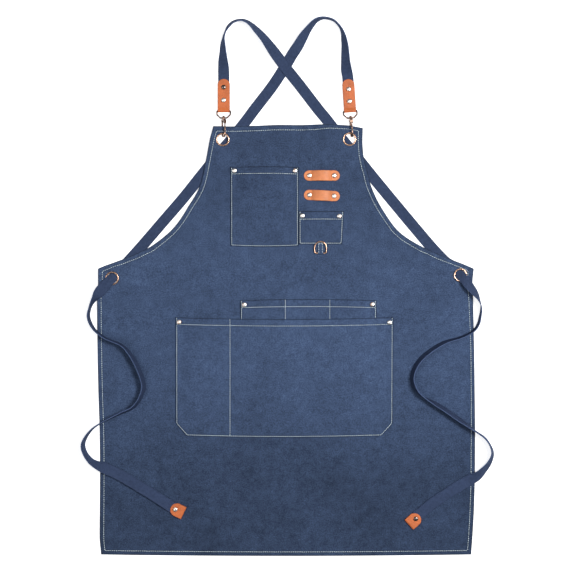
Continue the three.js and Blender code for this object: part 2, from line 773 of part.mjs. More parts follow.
function makeDRing() {
  const { x, bar, halfWidth, legs, tilt } = D_RING;
  const seat = clothTop(bar) + GAP;
  const strip = foldedStrip(D_RING_TAPE, TAPE, WIRE_RADIUS + GAP, GAP);
  const tape = add("d_ring_tape", strip, "webbing");
  tape.position.set(x, bar, seat);
  const arch = Array.from({ length: 9 }, (_, k) => {
    const angle = (Math.PI * k) / 8;
    return new THREE.Vector3(halfWidth * Math.cos(angle), legs + halfWidth * Math.sin(angle), 0);
  });
  const corner = WIRE_RADIUS;
  const foot = [
    [-halfWidth, corner],
    [-halfWidth + corner, 0],
    [halfWidth - corner, 0],
    [halfWidth, corner],
  ];
  const points = [...arch, ...foot.map(([px, py]) => new THREE.Vector3(px, py, 0))];
  const ring = add("d_ring", wire(points, WIRE_RADIUS, new THREE.Vector3(0, 0, 1), 8, true), "nickel");
  ring.position.set(x, bar, seat + TAPE + GAP + WIRE_RADIUS);
  ring.rotation.x = radians(tilt);
}

// Hook in its own plane: y runs back from the nose to the swivel, z up from the spine to the gate
function hookBody() {
  const half = HOOK.legs / 2;
  const path = [new THREE.Vector3(0, HOOK.start, 0)];
  for (let k = 0; k <= 8; k += 1) {
    const angle = (Math.PI * k) / 8;
    const bend = half * Math.sin(angle);
    path.push(new THREE.Vector3(0, HOOK.noseCentre - bend, half - half * Math.cos(angle)));
  }
  path.push(new THREE.Vector3(0, HOOK.tip, HOOK.legs));
  const rod = wire(path, HOOK.wire, new THREE.Vector3(1, 0, 0));
  const yoke = new THREE.Shape(YOKE.map(({ y, z }) => new THREE.Vector2(y, z)));
  const depth = 2 * (HOOK.slot + HOOK.cheek);
  const slotEnd = GATE.pivot + GATE.eye + GAP;
  const slot = new THREE.BoxGeometry(2 * HOOK.slot, HOOK.slotDepth, HOOK.slotDepth)
    .translate(0, slotEnd - HOOK.slotDepth / 2, HOOK.legs);
  const forked = cut(slab(yoke, depth), [slot]);
  const pin = new THREE.CylinderGeometry(GATE.pin, GATE.pin, depth - HOOK.cheek, 10)
    .rotateZ(Math.PI / 2)
    .translate(0, GATE.pivot, HOOK.legs);
  const seat = HOOK.collar + GAP;
  const stemFoot = -seat - HOOK.root;
  const stemTop = seat + HOOK.headHeight;
  const stem = new THREE.CylinderGeometry(HOOK.stem, HOOK.stem, stemTop - stemFoot, 10)
    .translate(0, (stemTop + stemFoot) / 2, half);
  const head = new THREE.CylinderGeometry(HOOK.head * 0.7, HOOK.head, HOOK.headHeight, 10)
    .translate(0, seat + HOOK.headHeight / 2, half);
  return join(rod, forked, pin, stem, head);
}

// Bar with an eye that turns on the hook's pin
function gateBody() {
  const station = (y, wide, high) => Array.from({ length: 8 }, (_, n) => {
    const angle = (2 * Math.PI * (n + 0.5)) / 8;
    return new THREE.Vector3(wide * Math.cos(angle), y - GATE.pivot, high * Math.sin(angle));
  });
  const bar = loft([
    station(GATE.tip, GATE.radius * 0.8, GATE.radius * 0.8),
    station(GATE.tip + GATE.bevel, GATE.radius, GATE.radius),
    station(GATE.shoulder, GATE.radius, GATE.radius),
    station(GATE.neck, GATE.halfWidth, GATE.radius),
    station(GATE.pivot, GATE.halfWidth, GATE.radius),
  ]);
  const eye = new THREE.CylinderGeometry(GATE.eye, GATE.eye, 2 * GATE.halfWidth, 12).rotateZ(Math.PI / 2);
  const bore = new THREE.CylinderGeometry(GATE.bore, GATE.bore, DRILL_LENGTH, 12).rotateZ(Math.PI / 2);
  return cut(join(bar, eye), [bore]);
}

// Wire loop in its own plane: the collar is at the origin and the bar lies reach along +Y
function snapLoop(slope) {
  const { halfWidth, reach, shoulder, halfFoot, corner } = SNAP_LOOP;
  const corners = [
    [-halfWidth, reach], [-halfWidth, reach - shoulder], [-halfFoot, 0],
    [halfFoot, 0], [halfWidth, reach - shoulder], [halfWidth, reach],
  ].map(([x, y]) => new THREE.Vector3(x, y, 0));
  const ring = wire(roundedPolygon(corners, corner), WIRE_RADIUS, new THREE.Vector3(0, 0, 1), 7, true);
  const along = 2 * HOOK.collar;
  const collar = new THREE.CylinderGeometry(COLLAR.radius, COLLAR.radius, along, 12).rotateX(slope);
  const bore = new THREE.CylinderGeometry(COLLAR.bore, COLLAR.bore, COLLAR.drill, 12).rotateX(slope);
  return cut(join(ring, collar), [bore]);
}

function makeSnap({ side, x, y, lean, tilt, rivets }) {
  const fitting = new THREE.Group();
  fitting.position.set(x, y, 0);
  fitting.rotation.z = radians(lean);
  apron.add(fitting);

  const half = HOOK.legs / 2;
  const hook = new THREE.Group();
  hook.position.set(-half * Math.sin(radians(tilt)), 0, HOOK.spineHeight);
  hook.rotation.y = radians(tilt);
  fitting.add(hook);
  add(`snap_hook_${side}`, hookBody(), "bronze", hook);
  const gate = add(`snap_gate_${side}`, gateBody(), "bronze", hook);
  gate.position.set(0, GATE.pivot, HOOK.legs);

  const swivel = HOOK.spineHeight + half * Math.cos(radians(tilt));
  const slope = Math.asin((swivel - SNAP_LOOP.barHeight) / SNAP_LOOP.reach);
  const loop = add(`snap_loop_${side}`, snapLoop(slope), "bronze", fitting);
  loop.position.z = swivel;
  loop.rotation.x = -slope;

  const bar = SNAP_LOOP.reach * Math.cos(slope);
  const leather = foldedStrip(SHOULDER_TAB, LEATHER, WIRE_RADIUS + GAP, WEBBING + 2 * GAP);
  const holes = rivets.map((along) => ({ x: 0, y: along - bar }));
  const tab = new THREE.Group();
  tab.position.y = bar;
  fitting.add(tab);
  const drills = holes.map((hole) => rivetHole(hole.x, hole.y));
  add(`shoulder_tab_${side}`, cut(leather, drills), "leather", tab);
  const seat = 2 * LEATHER + WEBBING + 2 * GAP;
  holes.forEach((hole, k) => {
    addRivet(`rivet_tab_${side}_${k + 1}`, hole.x, hole.y, GAP, seat, "nickel", tab);
  });
  return holes.map((hole) => new THREE.Vector3(hole.x, hole.y + bar, 0)
    .applyAxisAngle(new THREE.Vector3(0, 0, 1), radians(lean))
    .add(new THREE.Vector3(x, y, 0)));
}

function makeTieTab({ name, x, y, turn }) {
  const bore = (WEBBING + 2 * GAP) / 2;
  const leather = foldedStrip(TIE_TAB, TIE_LEATHER, bore, 2 * bore);
  const tab = new THREE.Group();
  tab.position.set(x, y, clothTop(y) + GAP);
  tab.rotation.z = radians(turn);
  apron.add(tab);
  add(name, cut(leather, [rivetHole(0, TIE_TAB.rivet)]), "leather", tab);
  const seat = 2 * TIE_LEATHER + WEBBING + 2 * GAP;
  addRivet(name.replace("tie_tab", "rivet_tie"), 0, TIE_TAB.rivet, GAP, seat, "nickel", tab);
  return new THREE.Vector3(-Math.sin(radians(turn)), Math.cos(radians(turn)), 0)
    .multiplyScalar(TIE_TAB.rivet)
    .add(new THREE.Vector3(x, y, 0));
}

// Corners of a strap's section at a place between the rows of its table
function strapSection(rows, curve, place) {
  const k = Math.min(Math.floor(place), rows.length - 2);
  const value = (column) => THREE.MathUtils.lerp(rows[k][column], rows[k + 1][column], place - k);
  const roll = radians(value("roll"));
  const width = value("width");
  const share = place / (rows.length - 1);
  const point = curve.getPoint(share);
  const ahead = curve.getTangent(share);
  const side = new THREE.Vector3(ahead.y, -ahead.x, 0).normalize();
  const across = side.clone().multiplyScalar(Math.cos(roll)).setZ(Math.sin(roll));
  const through = side.clone().multiplyScalar(-Math.sin(roll)).setZ(Math.cos(roll));
  const height = (width * Math.abs(Math.sin(roll)) + WEBBING * Math.abs(Math.cos(roll))) / 2;
  point.z = value("rest") + height;
  return [[1, 1], [1, -1], [-1, -1], [-1, 1]].map(([a, b]) => (
    point.clone()
      .addScaledVector(across, (a * width) / 2)
      .addScaledVector(through, (b * WEBBING) / 2)
  ));
}

// Flat band along a strap's table, in its runs, with its holes for rivets
function makeStrap(rows, runs, holes) {
  const curve = new THREE.CatmullRomCurve3(rows.map(({ x, y }) => new THREE.Vector3(x, y, 0)));
  const drills = holes.map(({ x, y }) => rivetHole(x, y));
  runs.forEach(({ name, from, to }) => {
    const start = from === 0 ? from : from + RUN_PART;
    const end = to === rows.length - 1 ? to : to - RUN_PART;
    const steps = (to - from) * STRAP_STEPS;
    const sections = Array.from({ length: steps + 1 }, (_, step) => {
      const place = THREE.MathUtils.clamp(from + step / STRAP_STEPS, start, end);
      return strapSection(rows, curve, place);
    });
    add(name, cut(loft(sections), drills), "webbing");
  });
}

makeBody([...POCKET_RIVETS, ...TOOL_LOOPS.flatMap(toolLoopRivets)]);
POCKETS.forEach(makePocket);
TOOL_LOOPS.forEach(makeToolLoop);
EYELETS.forEach(makeEyelet);
makeDRing();
const [leftTabHoles, rightTabHoles] = SNAPS.map(makeSnap);
const [leftTieHole, rightTieHole] = TIE_TABS.map(makeTieTab);
makeStrap(STRAP_LEFT, RUNS_LEFT, [...leftTabHoles, rightTieHole]);
makeStrap(STRAP_RIGHT, RUNS_RIGHT, [...rightTabHoles, leftTieHole]);

export default apron;
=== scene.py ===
"""Cross-back apron: its canvas, webbing, leather, stitching and metal, modelled around its solids."""

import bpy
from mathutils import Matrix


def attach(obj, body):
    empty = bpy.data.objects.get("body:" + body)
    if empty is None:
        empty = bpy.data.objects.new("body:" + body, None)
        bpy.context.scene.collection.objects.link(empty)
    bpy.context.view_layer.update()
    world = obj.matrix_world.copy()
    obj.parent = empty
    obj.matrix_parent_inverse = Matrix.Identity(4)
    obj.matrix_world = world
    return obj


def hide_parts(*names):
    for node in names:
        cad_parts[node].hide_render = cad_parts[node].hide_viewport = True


bl_info = {
    "name": "Cross-back apron",
    "version": (1, 0, 0),
    "blender": (4, 5, 0),
    "location": "View3D > Sidebar > Apron",
    "description": "Models an apron in canvas, webbing, leather and metal around its frame",
    "category": "Add Mesh",
}

import math
from collections import namedtuple
from functools import partial

import bpy
import numpy as np
from bpy.props import FloatProperty, FloatVectorProperty, PointerProperty
from mathutils import Matrix, Vector

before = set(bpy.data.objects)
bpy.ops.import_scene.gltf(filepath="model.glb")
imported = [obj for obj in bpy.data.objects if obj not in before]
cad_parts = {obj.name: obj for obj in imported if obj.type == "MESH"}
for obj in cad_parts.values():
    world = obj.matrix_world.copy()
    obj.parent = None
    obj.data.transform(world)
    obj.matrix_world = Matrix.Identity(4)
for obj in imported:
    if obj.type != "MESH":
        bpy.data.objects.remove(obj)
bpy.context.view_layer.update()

# Lengths in the tables below are millimetres
MM = 0.001
ROOT = "apron"

# Cloth's underside over the table, by y
LIFT = (
    (-600, 0.0),
    (-200, 0.0),
    (-110, 0.4),
    (10, 3.0),
    (30, 3.0),
    (70, 2.4),
    (200, 2.4),
    (255, 4.5),
    (600, 4.5),
)

# Body's edges by y: left and right, above the hip corner and below it
HIP = 32.5
ARMHOLE = (
    (32.5, -342.5, 337.5),
    (38, -329, 324.5),
    (45, -309.5, 307),
    (55, -283, 281.5),
    (60, -271.5, 270),
    (68, -254.5, 252),
    (78, -238.8, 233),
    (88, -225.6, 216.5),
    (102, -209.8, 199.3),
    (117, -197.1, 187.2),
    (131, -187.6, 177.8),
    (146, -178.6, 168.4),
    (160, -169.6, 161),
    (174, -161.9, 154.8),
    (187, -156.7, 150),
    (205, -152, 145.6),
    (222, -148.8, 140.8),
    (238, -145.6, 137.7),
    (250, -143.3, 136.6),
    (262, -141, 136),
    (288.5, -133.8, 136.6),
)
SIDES = (
    (-485.5, -337.2, 333),
    (-450, -340, 335.6),
    (-400, -339.6, 338.3),
    (-330, -339.2, 340),
    (-260, -340, 340.2),
    (-190, -342.2, 339.6),
    (-120, -343.6, 338.6),
    (-60, -344.3, 337.2),
    (-22, -344.4, 336.3),
    (8, -342.6, 335.2),
    (25.5, -342.6, 336.7),
    (32.5, -342.5, 337.5),
)
EDGES = {"armhole": ARMHOLE, "side": SIDES}
INWARD = {"left": 1, "right": -1}

# Bows of the bib's top edge by x and of the skirt's bottom edge, and the heights where they fade out
BIB_TOP = 288.5
TOP_BOW = (
    (-134, 1.8),
    (-105, 1.2),
    (-60, 2.2),
    (-13, 3.9),
    (20, 3.6),
    (68, 5.0),
    (104, 3.4),
    (136, -1.7),
)
SKIRT = {"left": -337.2, "right": 333, "bottom": -485.5, "bow": 2.6}
BOW_FADE = {"top": 240, "bottom": -430, "hem": 9}

# How far inside each edge its seam runs: the top's by x, and the sides' left and right by y
HEM_SEAMS = {"armhole": 7.7, "bottom": 7.6}
TOP_SEAM = (
    (-134, 9.1),
    (-100, 9.1),
    (50, 9.1),
    (80, 7.0),
    (136, 6.6),
)
SIDE_SEAMS = (
    (-486, 7.6, 7.2),
    (-300, 7.4, 7.2),
    (-110, 7.4, 6.2),
    (-45, 7.6, 7.4),
    (40, 8.0, 10.4),
)
HEM = {"rise": 0.7, "full": 6, "gone": 13, "round": 0.9}
GROOVE = {"depth": 0.3, "width": 1.0}
# Share of an edge's rounding that the cloth's underside has
UNDER_ROUND = 0.3

# Slow waves of the cloth, as lengths over two pi: a broad one along x and y, each bent by a sway,
# and a fine one
WAVE = {
    "x": 47, "x_bend": 1.3, "x_sway": 83, "y": 39, "y_bend": 1.1, "y_sway": 71, "mean": 0.6, "swing": 0.4,
}
FINE_WAVE = {"share": 0.5, "x": 23, "x_slant": 31, "y": 19, "y_slant": 61}
# Puckers beside a seam: share of the ripple's height, lean, length, two sways and how far they reach
Pucker = namedtuple("Pucker", "share lean length sway_x sway_y width")
PUCKERS = {
    "body": Pucker(1.0, 1, 1.9, 17, 23, 5),
    "pocket": Pucker(0.7, -1, 1.8, 15, 21, 4),
}

# Grid of the body: steps in from its edges, the step between, closer rows at the hips, and the offsets
# over which the slant of an edge is evened out
EDGE_STEPS = (0, 0.25, 0.7, 1.4, 2.4, 3.6, 4.8, 5.9, 6.6, 7.1, 7.7, 8.3, 8.9, 10, 12, 15)
GRID_STEP = 5.0
HIP_ROWS = {"below": 14, "above": 16, "step": 1.5}
SLANT_SPREAD = (-5, -2.5, 0, 2.5, 5)

# Pockets: foot is the right edge at the bottom, mouth and bow are the bows of the mouth and the bottom,
# clip cuts the lower corners, seams part the compartments, crowns are how far each one stands off the
# body, rising from crown_from to crown_full, and the last is painted light, lifting the main pocket and
# dimming the bib's pockets
Pocket = namedtuple(
    "Pocket", "name left right foot top mouth bottom bow hem clip seams crowns crown_from crown_full wash")
POCKETS = (
    Pocket(
        "main_pocket", left=-202, right=191.8, foot=190.8, top=-55.9, mouth=-3.2, bottom=-269.7, bow=3.6,
        hem=12.2, clip=(20, 23), seams=(-103.7,), crowns=(6, 8),
        crown_from=-262, crown_full=-150, wash=0.14),
    Pocket(
        "tool_pocket", left=-84.8, right=161.4, foot=161.4, top=-25, mouth=2.0, bottom=-100, bow=0,
        hem=13.2, clip=(0, 0), seams=(-3.6, 76.9), crowns=(0.8, 0.8, 0.8),
        crown_from=-70, crown_full=-37, wash=0),
    Pocket(
        "chest_pocket", left=-102.6, right=20.3, foot=20.3, top=215.9, mouth=0.8, bottom=73.4, bow=1.8,
        hem=12.4, clip=(0, 0), seams=(), crowns=(5.4,),
        crown_from=82, crown_full=150, wash=-0.08),
    Pocket(
        "small_pocket", left=21.1, right=102.1, foot=99.2, top=136, mouth=0, bottom=76.4, bow=0,
        hem=14.2, clip=(0, 0), seams=(), crowns=(5.4,),
        crown_from=82, crown_full=110, wash=-0.1),
)
POCKET = {
    "seat": 0.1, "turned": 9, "seam": 2.0, "hem_rise": 0.9, "hem_fade": (-0.3, 1.6), "fold_rise": 0.9,
    "fold_fade": (-2, 2), "round": 0.7, "thread_end": 0.6, "corner": 0.4,
}
POCKET_EDGE_STEPS = (0, 0.2, 0.5, 0.9, 1.4, 2.0, 2.8, 4, 6, 8, 10)
POCKET_MOUTH_STEPS = (0, 0.2, 0.5, 0.9, 1.5, 2.4, 4, 7, 10, 11.3, 12.2, 13.1, 14.5, 17)
POCKET_SEAM_STEPS = (-2, -1, -0.4, 0, 0.4, 1, 2)
POCKET_STEP = 4.0

# Painted shade along edges, mouths and seams, where they cast shadow: how dark it is at each and how wide
# it lies
PAINTED_SHADE = {"edge": 0.9, "edge_width": 1.1, "mouth": 1.0, "mouth_width": 1.2, "seam": 0.5, "seam_width": 1.2}

Eyelet = namedtuple("Eyelet", "name x y cloth")
EYELETS = (
    Eyelet("eyelet_bib_left", -116.6, 265.7, 1.2),
    Eyelet("eyelet_bib_right", 112.6, 266.3, 1.2),
    Eyelet("eyelet_waist_left", -316.9, 14.8, 1.2),
    Eyelet("eyelet_waist_right", 313.3, 20.5, 2.4),
)
EYELET = {
    "bore": 9.4, "barrel": 10.1, "flange": 12.5, "crown": 1.6, "back": 0.8, "gap": 0.2, "bevel": 0.2,
    "seat": 0.3, "rim_points": 13, "hole": 10.3, "hole_sides": 48, "drill": 40,
}

Loop = namedtuple("Loop", "name x y turn reach")
TOOL_LOOPS = (
    Loop("tool_loop_upper", 62.5, 200.7, 0, 22.4),
    Loop("tool_loop_lower", 62.5, 164.6, -2.6, 22.2),
)
TOOL_LOOP = {
    "length": 65, "width": 19, "arch": 5.2, "power": 2.5, "thick": 1.6, "flat": 3.7, "seat": 0.1,
    "points": 26, "end_points": 14,
}

PocketRivet = namedtuple("PocketRivet", "name pocket x y")
POCKET_RIVETS = (
    PocketRivet("rivet_main_left", "main_pocket", -195.8, -64.5),
    PocketRivet("rivet_main_right", "main_pocket", 185.2, -65),
    PocketRivet("rivet_tool_left", "tool_pocket", -77.8, -33),
    PocketRivet("rivet_tool_right", "tool_pocket", 153.8, -32.4),
    PocketRivet("rivet_chest_left", "chest_pocket", -95.6, 209.4),
    PocketRivet("rivet_chest_right", "chest_pocket", 14, 209.4),
    PocketRivet("rivet_small_left", "small_pocket", 27.4, 128),
    PocketRivet("rivet_small_right", "small_pocket", 94, 127.2),
)
RIVET = {"head": 4.2, "dome": 1.2, "rim": 0.5, "shank": 1.2, "below": 2.0, "sides": 32, "rings": 16}
DARK_RIVETS = ("rivet_tab_left_2", "rivet_tie_right")

RING = {
    "x": 60.1, "bar": 60.2, "half": 10.7, "height": 21.0, "tilt": 3, "corner": 3.6, "wire": 1.3,
    "seat": 0.2,
}
TAPE = {"width": 10, "length": 18.1, "thick": 0.8, "gap": 0.3, "seam": 3.3}

# Snap hooks: the swivel is at the origin and the hook runs from it along -Y, and YOKE is the y and z
# of the block that carries the gate's pin
Snap = namedtuple("Snap", "side x y lean tilt rivets")
SNAPS = (
    Snap("left", -115, 304.5, 0, 24, (32.5, 56)),
    Snap("right", 114.6, 304.5, 3.8, 10, (30.5, 52.5)),
)
HOOK = {
    "wire": 1.5, "spine": 1.6, "legs": 12.5, "start": -3.5, "nose": -27.6, "tip": -24.35, "nose_steps": 24,
    "seat": 1.9, "stem": 1.4, "stem_past": 0.5, "head": 2.5, "head_height": 2.0, "head_taper": 0.7,
    "depth": 4.4, "bevel": 0.45, "pin_past": 0.1, "slot": 2.4, "slot_end": -5.65, "slot_depth": 8,
}
YOKE = (
    (-1.9, 1.6),
    (-1.9, 11.2),
    (-4.4, 14.6),
    (-9, 14.6),
    (-10.1, 13.5),
    (-10.1, 11.6),
    (-8.8, 10.3),
    (-6.3, 9.4),
    (-5.4, 6.2),
    (-6.4, 1.2),
    (-6.4, -0.6),
    (-3.6, -0.6),
)
GATE = {
    "pivot": -8, "tip": -24, "radius": 1.3, "eye": 2.05, "half": 0.9, "neck": -11.5, "pin": 0.8,
    "play": 0.25, "drill": 3, "tongue": 0.9, "tongue_past": 1.5,
}
SNAP_LOOP = {
    "half": 12.1, "reach": 14.5, "shoulder": 8, "foot": 6, "corner": 2.4, "bar": 3.2, "wire": 1.3,
}
COLLAR = {
    "bore": 1.75, "skin": 0.05, "radius": 3.3, "half": 1.6, "bevel": 0.4, "steps": 32, "drill": 6,
}
SHOULDER_TAB = {"width": 22, "length": 57, "round": 10, "thick": 1.6, "bore": 1.6, "room": 2.0}

Tab = namedtuple("Tab", "name x y turn")
TIE_TABS = (
    Tab("tie_tab_left", -189.4, -409.2, 64),
    Tab("tie_tab_right", 221.6, -429.6, -48),
)
TIE_TAB = {
    "width": 24, "length": 23.4, "round": 11.5, "thick": 1.4, "bore": 1.0, "room": 2.0,
    "rivet": 14.5, "seat": 0.3,
}

# Webbing: its size, the step along a strap, how far it may bow and how blunt its edges are
WEBBING = {"width": 20, "thick": 1.75, "step": 2.5, "rough_steps": 40, "bow": 1.02, "blunt": 0.85}
# Straps from the shoulder tab to the tie's end: x, y, roll in degrees, width, height of the lowest edge
STRAP_LEFT = (
    (-115, 323.5, 0, 20, 1.9),
    (-115, 350, 0, 20, 1.9),
    (-115, 378, 0, 20, 1.9),
    (-115.3, 395, 15, 20, 1.0),
    (-116.2, 410, 36, 20, 0.3),
    (-116.3, 423, 53, 20, 0.3),
    (-116.5, 437, 64, 20, 0.3),
    (-115.4, 449, 77, 20, 0.3),
    (-112, 460, 80, 20, 0.3),
    (-105.7, 470.7, 71, 20, 0.3),
    (-97.4, 478.1, 71, 20, 0.3),
    (-86, 481.5, 73, 20, 0.3),
    (-76, 480, 70, 20, 0.3),
    (-66, 473.8, 65, 20, 0.3),
    (-56, 464, 54, 20, 0.3),
    (-43, 450, 44, 20, 0.4),
    (-32, 435.5, 30, 20, 0.8),
    (-21.5, 421, 12, 20, 1.6),
    (-4, 397.5, 0, 20, 2.0),
    (11, 378.5, 0, 20, 1.9),
    (23.5, 363, 0, 20, 1.1),
    (40, 341.5, 0, 20, 0.4),
    (57, 319.5, 0, 20, 0.2),
    (69.9, 304, 0, 20, 0.2),
    (92, 275.5, 0, 20, 0.2),
    (122.2, 239, 0, 20, 0.2),
    (155.1, 198, 0, 20, 0.2),
    (186.8, 159.5, 0, 20, 0.2),
    (222.6, 116.5, 0, 20, 0.2),
    (259.5, 73, 0, 20, 0.2),
    (285, 46, 0, 20, 0.2),
    (298, 37.5, 0, 19, 0.2),
    (305.4, 29.5, 0, 17.8, 0.2),
    (308.8, 25.6, 0, 17.4, 0.3),
    (317.8, 15.4, 0, 17.4, 7.4),
    (321.2, 11.4, 16, 18.4, 7.0),
    (327.5, 2.5, 36, 20, 6.0),
    (336, -8, 48, 20, 5.0),
    (342, -16.5, 62, 20, 3.8),
    (346, -24, 75, 20, 2.4),
    (349.5, -33, 84, 20, 1.2),
    (350, -42, 90, 20, 0.6),
    (348, -55.5, 94, 20, 0.6),
    (345, -67, 96, 20, 1.6),
    (338, -78, 96, 20, 2.8),
    (326, -86.5, 96, 20, 2.8),
    (309, -93.5, 98, 20, 1.6),
    (286.5, -100, 102, 20, 1.6),
    (264.5, -112, 105, 20, 1.6),
    (242, -130, 106, 20, 1.6),
    (229.5, -149, 106, 20, 1.6),
    (225.5, -167, 104, 20, 1.6),
    (232, -186, 100, 20, 1.6),
    (245, -199, 92, 20, 1.6),
    (274, -215.5, 71, 20, 1.6),
    (304, -236, 71, 20, 1.8),
    (324, -250, 78, 20, 2.8),
    (340, -261.5, 86, 20, 2.8),
    (356.2, -273, 83, 20, 1.2),
    (366.4, -287, 80, 20, 0.5),
    (370.6, -303, 71, 20, 0.5),
    (364.2, -319.5, 60, 20, 1.2),
    (353.8, -332, 49, 20, 2.6),
    (344.5, -341.6, 34, 20, 2.9),
    (331, -349.3, 12, 20, 2.9),
    (312, -360.4, 5, 20, 2.6),
    (276.5, -383, 7, 20, 2.4),
    (254, -399.5, 5, 20, 2.8),
    (237.3, -414.2, 0, 20, 3.2),
    (222.5, -427.6, 0, 20, 3.2),
)
STRAP_RIGHT = (
    (113.3, 323.4, 0, 20, 1.9),
    (111.6, 349.5, 0, 20, 1.9),
    (109.6, 378, 0, 20, 1.9),
    (107, 392, 18, 20, 1.0),
    (105.5, 406, 40, 20, 0.3),
    (104.8, 421, 48, 20, 0.3),
    (104, 435.5, 57, 20, 0.3),
    (102, 449, 67, 20, 0.3),
    (99, 461, 80, 20, 0.3),
    (93.5, 471, 88, 20, 0.3),
    (83, 481, 90, 20, 0.3),
    (67.5, 485, 88, 20, 0.3),
    (56, 482.5, 79, 20, 0.3),
    (48.2, 477, 71, 20, 0.3),
    (38.2, 465, 60, 20, 0.3),
    (28, 450, 38, 20, 0.3),
    (19.2, 435, 22, 20, 0.2),
    (8.6, 419.5, 3, 20, 0.2),
    (-2.9, 400, 0, 20, 0.2),
    (-26.8, 363, 0, 20, 0.2),
    (-60.2, 319.5, 0, 20, 0.2),
    (-71.2, 304.5, 0, 20, 0.2),
    (-94, 275.5, 0, 20, 0.2),
    (-124.3, 239.5, 0, 20, 0.2),
    (-156.4, 200, 0, 20, 0.2),
    (-188.3, 160, 0, 20, 0.2),
    (-225.3, 117, 0, 20, 0.2),
    (-262.8, 73.5, 0, 20, 0.2),
    (-285.6, 48, 0, 20, 0.2),
    (-300, 32.5, 0, 19, 0.2),
    (-308.5, 23.3, 0, 17.8, 0.2),
    (-312.1, 19.6, 0, 17.4, 0.3),
    (-321.7, 10, 0, 17.4, 6.3),
    (-325.3, 6.3, 0, 18.4, 6.4),
    (-332.5, -1.5, 0, 20, 6.3),
    (-340, -11, 26, 20, 5.6),
    (-346, -19.5, 58, 20, 4.2),
    (-352.5, -29.5, 78, 20, 2.4),
    (-357, -41, 84, 20, 1.0),
    (-359, -53, 82, 20, 0.6),
    (-355.5, -66, 82, 20, 1.2),
    (-345.5, -80.5, 84, 20, 2.8),
    (-328, -93.5, 86, 20, 2.8),
    (-300, -105.5, 84, 20, 1.6),
    (-284.5, -121, 78, 20, 1.6),
    (-271, -144, 75, 20, 1.6),
    (-261.5, -169, 75, 20, 1.6),
    (-259.8, -184, 75, 20, 1.6),
    (-266.5, -203.5, 76, 20, 1.6),
    (-280, -219.5, 78, 20, 1.6),
    (-298.5, -228, 80, 20, 1.6),
    (-324, -240, 86, 20, 2.8),
    (-340, -248.6, 86, 20, 2.8),
    (-353, -258.3, 84, 20, 1.2),
    (-364, -272.5, 80, 20, 0.5),
    (-369, -287, 76, 20, 0.5),
    (-364.4, -302.6, 74, 20, 0.6),
    (-354, -315.6, 66, 20, 2.0),
    (-342, -322.8, 50, 20, 2.9),
    (-328, -329, 18, 20, 2.9),
    (-304, -340.4, 10, 20, 2.2),
    (-263.5, -364.2, 12, 20, 1.9),
    (-227, -387, 9, 20, 2.5),
    (-209, -398.8, 0, 20, 3.2),
    (-190.8, -407.5, 0, 20, 3.2),
)
STRAPS = {
    "webbing_left": (STRAP_LEFT, ("shoulder_strap_left", "back_strap_left", "tie_right")),
    "webbing_right": (STRAP_RIGHT, ("shoulder_strap_right", "back_strap_right", "tie_left")),
}

# Bands: places across one from edge to edge, how far it may narrow, where its edges begin and how
# blunt they are
RIBBON_PLACES = np.array([0, 0.012, 0.035, 0.08, 0.2, 0.35, 0.5, 0.65, 0.8, 0.92, 0.965, 0.988, 1])
RIBBON = {"narrowest": 0.1, "edge": 0.95, "blunt": 0.2}
ARC_ANGLES = np.linspace(0.001, 3.0, 400)
# Folded strips: step along one, points round its fold and how soon its sides close behind the bar
FOLD = {"step": 0.8, "points": 13, "settle": 4}
# How far along its rounding a round end goes, so that it keeps some width
ROUND_END = 0.985

# Stitches: rings along x with their radius, sides, how much stitches differ, and how they lie
STITCH_RINGS = ((-0.9, 0.5), (-0.55, 0.92), (0.0, 1.0), (0.55, 0.92), (0.9, 0.5))
STITCH_SIDES = 6
STITCH = {
    "yaw": 0.03, "length": (0.93, 1.05), "thick": (0.92, 1.08), "flat": 0.75, "dip": 0.55, "stand": 0.45,
}
SEAM_STEP = 1.0
JITTER_SEED = 11

WIRE_SIDES = 20
RING_STEPS = 72
BARREL_SIDES = 24
# Bends of a wire: degrees in one step, and the fewest steps
BEND = {"degrees": 9, "least": 4}
BEVELS = {"head": 0.2, "pin": 0.12, "stem": 0.1, "gate": 0.35, "bore": 0.05}
# Angles over which an edge is bevelled and stays sharp, and metres within which doubles merge
BEVEL_ANGLE = math.radians(50)
SHARP_ANGLE = math.radians(40)
MERGE = 1e-6
# Shortest step that is drawn, in millimetres
SHORTEST_STEP = 1e-4

# Finishes by the names of their colours: a metal's plate and worn patches, the least noise that makes
# a patch, and its roughness
Metal = namedtuple("Metal", "plate worn least polish")
METALS = {
    "bronze_plate": Metal("bronze", "patina", 0.25, 0.28),
    "aged_bronze": Metal("patina", "bronze", 0.09, 0.34),
    "nickel_plate": Metal("nickel", "bronze", 0.1, 0.34),
    "gunmetal_plate": Metal("gunmetal", "patina", 0.05, 0.3),
}
LEATHERS = {"tan_leather": "leather", "pale_leather": "leather_pale"}

# Stage, in metres: each light with the property that holds its power, and the floor
Lamp = namedtuple("Lamp", "name power place size")
LAMPS = (
    Lamp("right_light", "right", (1.44, 0.38, 3.06), 0.9),
    Lamp("left_light", "left", (-3.07, -0.47, 4.97), 2.2),
    Lamp("overhead_light", "fill", (0, 0.1, 3.6), 2.2),
)
FLOOR = {"size": 60, "drop": 0.0002}
SKY_COLOUR = (0.96, 0.98, 1.0, 1)
# The photograph is 576 pixels across; millimetres to one of its pixels, and its middle on the table
VIEW = {"pixels": 576, "scale": 1.81, "x": 1.27, "y": -2.7, "plane": 3.0}


